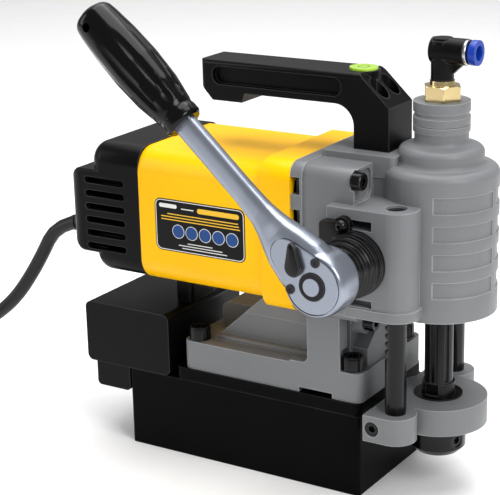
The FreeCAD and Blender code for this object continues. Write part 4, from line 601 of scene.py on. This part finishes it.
def add_cap_screw(bm, matrix, size):
    """Socket head with a knurled side; only the head is built, the shank is out of sight."""
    radius = 0.75 * size + 0.5
    height = float(size)
    segments = 72
    bevel = 0.08 * size
    socket = 0.78 * size / math.sqrt(3)
    profile = [(radius, 0.0), (radius, 0.12 * size), (radius, height - 2.2 * bevel),
               (radius - bevel, height), (socket * 1.25, height)]
    rings = []
    for level, (r, z) in enumerate(profile):
        ring = []
        for i in range(segments):
            groove = 0.0
            if level in (1, 2):
                groove = 0.055 * size * (0.5 + 0.5 * math.cos(2 * math.pi * KNURLS * i / segments))
            a = 2 * math.pi * i / segments
            ring.append(matrix @ Vector(((r - groove) * math.cos(a), (r - groove) * math.sin(a), z)))
        rings.append(ring)
    hexagon = []
    for depth in (0.0, 0.5 * size):
        ring = []
        for i in range(segments):
            a = 2 * math.pi * i / segments
            reach = socket * math.cos(math.pi / 6) / math.cos((a % (math.pi / 3)) - math.pi / 6)
            ring.append(matrix @ Vector((reach * math.cos(a), reach * math.sin(a), height - depth)))
        hexagon.append(ring)
    loops = loft(bm, rings + hexagon, caps=False)
    bm.faces.new(loops[-1])
    bm.faces.new(list(reversed(loops[0])))


def screw_group(name, replaced, places, body):
    """One piece for a set of cap screws: places are (origin, direction, size)."""
    def build(bm):
        for at, direction, size in places:
            add_cap_screw(bm, aim(Vector(at) * MM, direction) @ Matrix.Scale(MM, 4), size)
    piece = mesh_object(name, build)
    shade(piece, 30)
    link(piece, body, BLACK_STEEL)
    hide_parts(replaced)


def low(node):
    """A node's lowest corner in millimetres."""
    return Vector(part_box(node)[0]) / MM


def high(node):
    """A node's highest corner in millimetres."""
    return Vector(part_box(node)[1]) / MM


BASE_BOLT = 8.0
SADDLE_BOLT = 6.0
RAIL_HEIGHT = 17.5
FRONT_INSET = 8.5           # base bolts in from the magnet's front and sides
REAR_INSET = 7.5
SADDLE_SCREW = (6.6, 18.0, 24.5)    # back from the front, out from the middle, up from the rails


def add_base_bolts():
    """Four bolts through the flange and two in the saddle's front face."""
    front = high("magnet_core")
    rail_z = high("magnet_top_plate").z + RAIL_HEIGHT
    side = front.y - FRONT_INSET
    saddle_x = front.x - SADDLE_SCREW[0]
    saddle_z = rail_z + SADDLE_SCREW[2]
    flange = [((x, y, rail_z), (0, 0, 1), BASE_BOLT)
              for x in (low("base_casting").x + REAR_INSET, front.x - FRONT_INSET) for y in (-side, side)]
    saddle = [((saddle_x, sign * SADDLE_SCREW[1], saddle_z), (1, 0, 0), SADDLE_BOLT) for sign in (-1, 1)]
    screw_group("base_bolts", "base_screws", flange + saddle, "root")


add_base_bolts()

# ---------------------------------------------------------------- ratchet
PINION = Vector((83.5, 0.0, 144.4))
RATCHET_ANGLE = math.radians(137.5)
HEAD_Y = (low("ratchet_head").y, high("ratchet_head").y)
HEAD_R = 18.2
HEAD_CROWN = (2.3, 6.5)     # rounding of the face: across, then in depth
HEAD_BACK_R = 3.0
MELT_GRAIN = 0.75           # the head's lofts are melted into one skin at this grain
LEVER_AT = 13.8
COVER_R = 15.6
COVER_NOSE_R = 9.0
COVER_REACH = 22.0
COVER_HOLE_R = 7.95
COVER_SCREW = (7.5, 11.2)
GRIP_START = 112.0
REACH = 195.0
SWING = Matrix.Translation(PINION * MM) @ Matrix.Rotation(-RATCHET_ANGLE, 4, "Y") @ Matrix.Scale(MM, 4)
MID_Y = (HEAD_Y[0] + HEAD_Y[1]) / 2


def oval(u, half_width, half_depth, mid):
    """A rounded section across the ratchet's length, in its own frame."""
    count = 40
    squareness = 2 / 3.2
    ring = []
    for i in range(count):
        a = 2 * math.pi * i / count
        c, s = math.cos(a), math.sin(a)
        ring.append(Vector((u, mid + half_depth * math.copysign(abs(s) ** squareness, s),
                            half_width * math.copysign(abs(c) ** squareness, c))))
    return ring


def cover_outline(y, inset):
    """The teardrop of the face cover, as a ring of points."""
    return teardrop(y, COVER_R - inset, COVER_NOSE_R - inset, COVER_REACH, 32)


# Along the ratchet: half width, then how far it lies below the head's front and back faces.
NECK_SECTIONS = (
    (2, 17.0, 0.0, 2.5), (14, 16.6, 0.0, 3.0), (26, 14.0, 0.1, 4.0), (33, 11.4, 1.0, 4.6),
    (40, 9.2, 3.0, 5.2),
    (48, 7.6, 4.8, 5.6), (62, 6.9, 5.6, 5.8), (90, 6.9, 5.8, 5.9), (GRIP_START + 4, 6.9, 5.8, 5.9),
)


def add_ratchet_head():
    """A forged head that flows into the neck and shank, with a recess for the cover."""
    y0, y1 = HEAD_Y

    def build(bm):
        profile = [(0.01, y0)]
        for k in range(7):
            a = math.radians(90 * k / 6)
            profile.append((HEAD_R - HEAD_CROWN[0] * (1 - math.sin(a)),
                            y0 + HEAD_CROWN[1] * (1 - math.cos(a))))
        for k in range(6):
            a = math.radians(90 * k / 5)
            profile.append((HEAD_R - HEAD_BACK_R * (1 - math.cos(a)), y1 - HEAD_BACK_R * (1 - math.sin(a))))
        profile.append((0.01, y1))
        about_y = Matrix.Rotation(-math.pi / 2, 4, "X")
        loft(bm, lathe_rings(profile, 64, about_y), caps=False)
        neck = []
        for u, half_width, front, back in NECK_SECTIONS:
            top = y0 + front
            bottom = y1 - back
            neck.append(oval(u, half_width, (bottom - top) / 2, (top + bottom) / 2))
        loft(bm, neck)
    head = mesh_object("ratchet_forging", build)
    melt = head.modifiers.new("melt", "REMESH")
    melt.mode = "VOXEL"
    melt.voxel_size = MELT_GRAIN
    flow = head.modifiers.new("flow", "SMOOTH")
    flow.factor = 0.5
    flow.iterations = 7
    apply_modifiers(head)

    def tool(bm):
        loft(bm, [cover_outline(y0 - 3.0, -0.3), cover_outline(y0 + 1.4, -0.3)])
    cut_away(head, mesh_object("recess_tool", tool), "recess")
    head.data.transform(SWING)
    shade(head, 40)
    link(head, "ratchet", CHROME)
    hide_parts("ratchet_head")


def add_ratchet_cover():
    """The plate let into the face, and its two screws."""
    y0 = HEAD_Y[0]

    def plate(bm):
        loft(bm, [cover_outline(y0 + 1.35, 0.25), cover_outline(y0 + 0.25, 0.25),
                  cover_outline(y0 - 0.05, 0.6)])
    cover = mesh_object("face_cover", plate)
    hole = mesh_object("hole_tool", lambda bm: loft(bm, lathe_rings(
        [(COVER_HOLE_R, y0 - 3), (COVER_HOLE_R, y0 + 3)], 48, Matrix.Rotation(-math.pi / 2, 4, "X"))))
    cut_away(cover, hole, "hole")
    cover.data.transform(SWING)
    shade(cover, 30)
    link(cover, "ratchet", CHROME)
    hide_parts("ratchet_cover")

    def screws(bm):
        for sign in (1, -1):
            matrix = SWING @ aim((COVER_SCREW[0], y0, sign * COVER_SCREW[1]), (0, -1, 0))
            rings = [(2.7, -0.6), (2.7, 0.5), (2.4, 0.75), (1.4, 0.75), (1.2, 0.15), (0.01, 0.15)]
            loft(bm, lathe_rings(rings, 36, matrix), caps=False)
    piece = mesh_object("cover_screws", screws)
    shade(piece, 30)
    link(piece, "ratchet", BLACK_STEEL)


GRIP_PROFILE = (             # distance along the grip, radius
    (0.0, 9.0), (1.0, 11.0), (6.5, 11.0), (8.0, 10.2), (9.5, 11.0), (24, 13.4), (42, 14.3), (60, 13.7),
    (74, 12.4),
    (79, 11.6), (82, 9.4), (83, 5.0),
)
FLUTES = 8
FLUTE_DEPTH = 1.5
FLUTE_START = 11.0
FLUTE_RUN_IN = 8.0
FLUTE_END = 66.0
FLUTE_RUN_OUT = 40.0
HANG_HOLE_R = 2.6
HANG_HOLE_SET = 9.0          # in from the grip's end


def grip_radius(s):
    """The grip's radius between two places of its profile."""
    for (s0, r0), (s1, r1) in zip(GRIP_PROFILE, GRIP_PROFILE[1:]):
        if s <= s1:
            t = (s - s0) / (s1 - s0)
            return r0 + (r1 - r0) * t
    return GRIP_PROFILE[-1][1]


def add_grip():
    """A tapered grip with eight long finger flutes, an end collar and a hanging hole."""
    segments = 96
    length = REACH - GRIP_START

    def build(bm):
        rings = []
        steps = 110
        for k in range(steps + 1):
            s = length * k / steps
            # A smoothed radius keeps the swell even.
            base = sum(grip_radius(min(length, max(0.0, s + d))) for d in (-0.8, 0, 0.8)) / 3
            fade_in = min(1.0, max(0.0, (s - FLUTE_START) / FLUTE_RUN_IN))
            window = fade_in * min(1.0, max(0.0, (FLUTE_END - s) / FLUTE_RUN_OUT))
            ring = []
            for i in range(segments):
                a = 2 * math.pi * i / segments
                flute = max(0.0, math.cos(FLUTES * a)) ** 0.8
                r = base - FLUTE_DEPTH * window * flute
                ring.append(SWING @ Vector((GRIP_START + s, MID_Y + r * math.cos(a), r * math.sin(a))))
            rings.append(ring)
        loft(bm, rings)
    grip = mesh_object("grip", build)
    across = SWING @ aim((REACH - HANG_HOLE_SET, MID_Y, 0), (0, 1, 0))
    hole = mesh_object("hang_tool", lambda bm: loft(bm, lathe_rings(
        [(HANG_HOLE_R, -30.0), (HANG_HOLE_R, 30.0)], 32, across)))
    cut_away(grip, hole, "hole")
    shade(grip, 45)
    link(grip, "ratchet", GRIP)
    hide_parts("ratchet_grip")


LEVER_ANGLE = 94.0
LEVER_SECTIONS = (           # lift off the head, large radius, tip radius, reach
    (0.9, 5.0, 2.2, 11.4), (2.4, 5.0, 2.2, 11.4), (3.2, 4.4, 1.8, 11.2), (3.6, 3.0, 1.0, 10.9),
    (3.9, 1.0, 0.4, 10.2),
)


def add_lever():
    """The teardrop reversing lever, domed."""
    y0 = HEAD_Y[0]
    swung = RATCHET_ANGLE - math.radians(LEVER_ANGLE)
    turn = Matrix.Translation((LEVER_AT, 0, 0)) @ Matrix.Rotation(swung, 4, "Y")

    def build(bm):
        loft(bm, [[SWING @ turn @ point for point in teardrop(y0 - lift, big, tip, reach, 24)]
                  for lift, big, tip, reach in LEVER_SECTIONS])
    lever = mesh_object("lever", build)
    shade(lever, 28)
    link(lever, "reversing_lever", BLACK_STEEL)
    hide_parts("reversing_lever")


add_ratchet_head()
add_ratchet_cover()
add_grip()
add_lever()


# ---------------------------------------------------------------- rating plate
PRINT_THICKNESS = 0.12
DISCS = 5
DISC_PITCH = 0.15            # share of the plate's width


def flat_shape(bm, outline, y):
    """A thin printed shape on the operator's side: outline of (x, z) in millimetres."""
    rings = [[Vector((x, yy, z)) * MM for x, z in outline] for yy in (y, y - PRINT_THICKNESS)]
    loft(bm, rings)


def add_label_marks():
    """Plain bars and discs in place of print."""
    lo, hi = low("rating_plate"), high("rating_plate")
    face = lo.y + 0.02
    width = hi.x - lo.x
    height = hi.z - lo.z

    def spot(u, v):
        return lo.x + u * width, lo.z + v * height

    def bars(rows):
        def build(bm):
            for u0, u1, v, thick in rows:
                x0, z = spot(u0, v)
                x1 = spot(u1, v)[0]
                flat_shape(bm, rounded(x0, x1, z - thick / 2, z + thick / 2, thick * 0.45, 3), face)
        return build

    def frame_line(bm):
        inner = rounded(lo.x + 1.0, hi.x - 1.0, lo.z + 1.0, hi.z - 1.0, 3.2)
        outer = rounded(lo.x + 0.55, hi.x - 0.55, lo.z + 0.55, hi.z - 0.55, 3.6)
        a = [bm.verts.new(Vector((x, face - 0.1, z)) * MM) for x, z in outer]
        b = [bm.verts.new(Vector((x, face - 0.1, z)) * MM) for x, z in inner]
        for i in range(len(a)):
            j = (i + 1) % len(a)
            bm.faces.new((a[i], a[j], b[j], b[i]))

    def discs(radius, lift):
        def build(bm):
            for k in range(DISCS):
                x, z = spot(0.26 + DISC_PITCH * k, 0.40)
                angles = [2 * math.pi * i / 32 for i in range(32)]
                outline = [(x + radius * math.cos(a), z + radius * math.sin(a)) for a in angles]
                flat_shape(bm, outline, face - lift)
        return build

    # Each bar: left and right end as shares of the width, height as a share, thickness in millimetres.
    sets = (
        ("label_bars", bars([(0.05, 0.25, 0.87, 2.4), (0.30, 0.44, 0.845, 0.6), (0.36, 0.64, 0.19, 0.5),
                             (0.26, 0.75, 0.14, 0.5), (0.30, 0.80, 0.09, 0.5)]), LABEL_PALE),
        ("label_badge", bars([(0.48, 0.94, 0.85, 3.0), (0.14, 0.93, 0.72, 0.6), (0.07, 0.94, 0.665, 0.6),
                              (0.07, 0.95, 0.61, 0.6)]), LABEL_YELLOW),
        ("label_frame", frame_line, LABEL_PALE),
        ("label_rings", discs(4.2, 0.0), LABEL_PALE),
        ("label_discs", discs(3.85, 0.06), LABEL_BLUE),
    )
    for name, build, finish in sets:
        piece = mesh_object(name, build)
        link(piece, "root", finish)


add_label_marks()


# ---------------------------------------------------------------- small trim
def add_ring(name, at, direction, outer, inner, depth, material, body):
    """A turned ring with broken edges; it starts at the place and runs along the direction."""
    b = min(0.3, depth / 4)
    profile = [(inner, 0), (outer - b, 0), (outer, b), (outer, depth - b), (outer - b, depth),
               (inner, depth),
               (inner, 0)]
    matrix = aim(Vector(at) * MM, direction) @ Matrix.Scale(MM, 4)
    piece = mesh_object(name, lambda bm: loft(bm, lathe_rings(profile, 48, matrix), caps=False))
    shade(piece, 30)
    link(piece, body, material)


def add_tube_ring():
    """The bright ring at the mouth of the elbow."""
    axis_z = (low("release_collar").z + high("release_collar").z) / 2
    mouth_x = high("elbow_body").x - RING_STANDOUT
    add_ring("tube_ring", (mouth_x - 0.2, 0, axis_z), (1, 0, 0), 6.9, 6.0, 1.65, STEEL, "elbow")


def add_vial_rings():
    """The level's rim and its target circle."""
    lo, hi = low("bubble_level"), high("bubble_level")
    x = (lo.x + hi.x) / 2
    add_ring("vial_rim", (x, 0, hi.z - 1.6), (0, 0, 1), 8.05, 7.0, 1.65, LIME, "root")
    add_ring("vial_target", (x, 0, hi.z - 0.01), (0, 0, 1), 3.4, 3.0, 0.05, BLACK_PLASTIC, "root")


RING_STANDOUT = 1.6
add_tube_ring()
add_vial_rings()


# ---------------------------------------------------------------- floor and light
def add_floor():
    """A plain pale floor."""
    bpy.ops.mesh.primitive_plane_add(size=FLOOR_SIZE, location=(0, 0, -FLOOR_DROP))
    floor = bpy.context.object
    floor.name = "floor"
    paper = surface("floor_paper", srgb(250, 250, 250), 0.7, grain=200, relief=0.01, mottle=0.01)
    floor.data.materials.append(paper)


LAMPS = (                    # name, place, target, size in metres, power in watts
    ("overhead", (0.05, 0.1, 1.3), (0, 0, 0.1), (1.2, 1.0), 17.0),
    ("key", (1.1, -0.5, 0.9), (0.05, 0, 0.12), (0.6, 0.8), 12.0),
    ("left", (-1.1, -0.7, 0.6), (0, 0, 0.12), (0.5, 0.9), 4.5),
    ("backdrop", (-0.65, 1.1, 1.6), (-0.65, 1.1, 0.0), (2.4, 1.4), 17.0),
)
WORLD_STRENGTH = 0.36
FLOOR_SIZE = 12.0
FLOOR_DROP = 0.0002          # just under the object, so that faces on the floor stay clear of it


def add_light(name, place, target, size, power):
    """A soft rectangular lamp that faces its target."""
    data = bpy.data.lights.new(name, "AREA")
    data.shape = "RECTANGLE"
    data.size = size[0]
    data.size_y = size[1]
    data.energy = power
    lamp = bpy.data.objects.new(name, data)
    scene.collection.objects.link(lamp)
    lamp.matrix_world = aim(Vector(place), Vector(place) - Vector(target))


def add_world():
    """Even white light from all round."""
    world = bpy.data.worlds.new("studio")
    scene.world = world
    world.use_nodes = True
    background = world.node_tree.nodes["Background"]
    background.inputs["Color"].default_value = (1.0, 1.0, 1.0, 1.0)
    background.inputs["Strength"].default_value = WORLD_STRENGTH


add_floor()
add_world()
for lamp in LAMPS:
    add_light(*lamp)
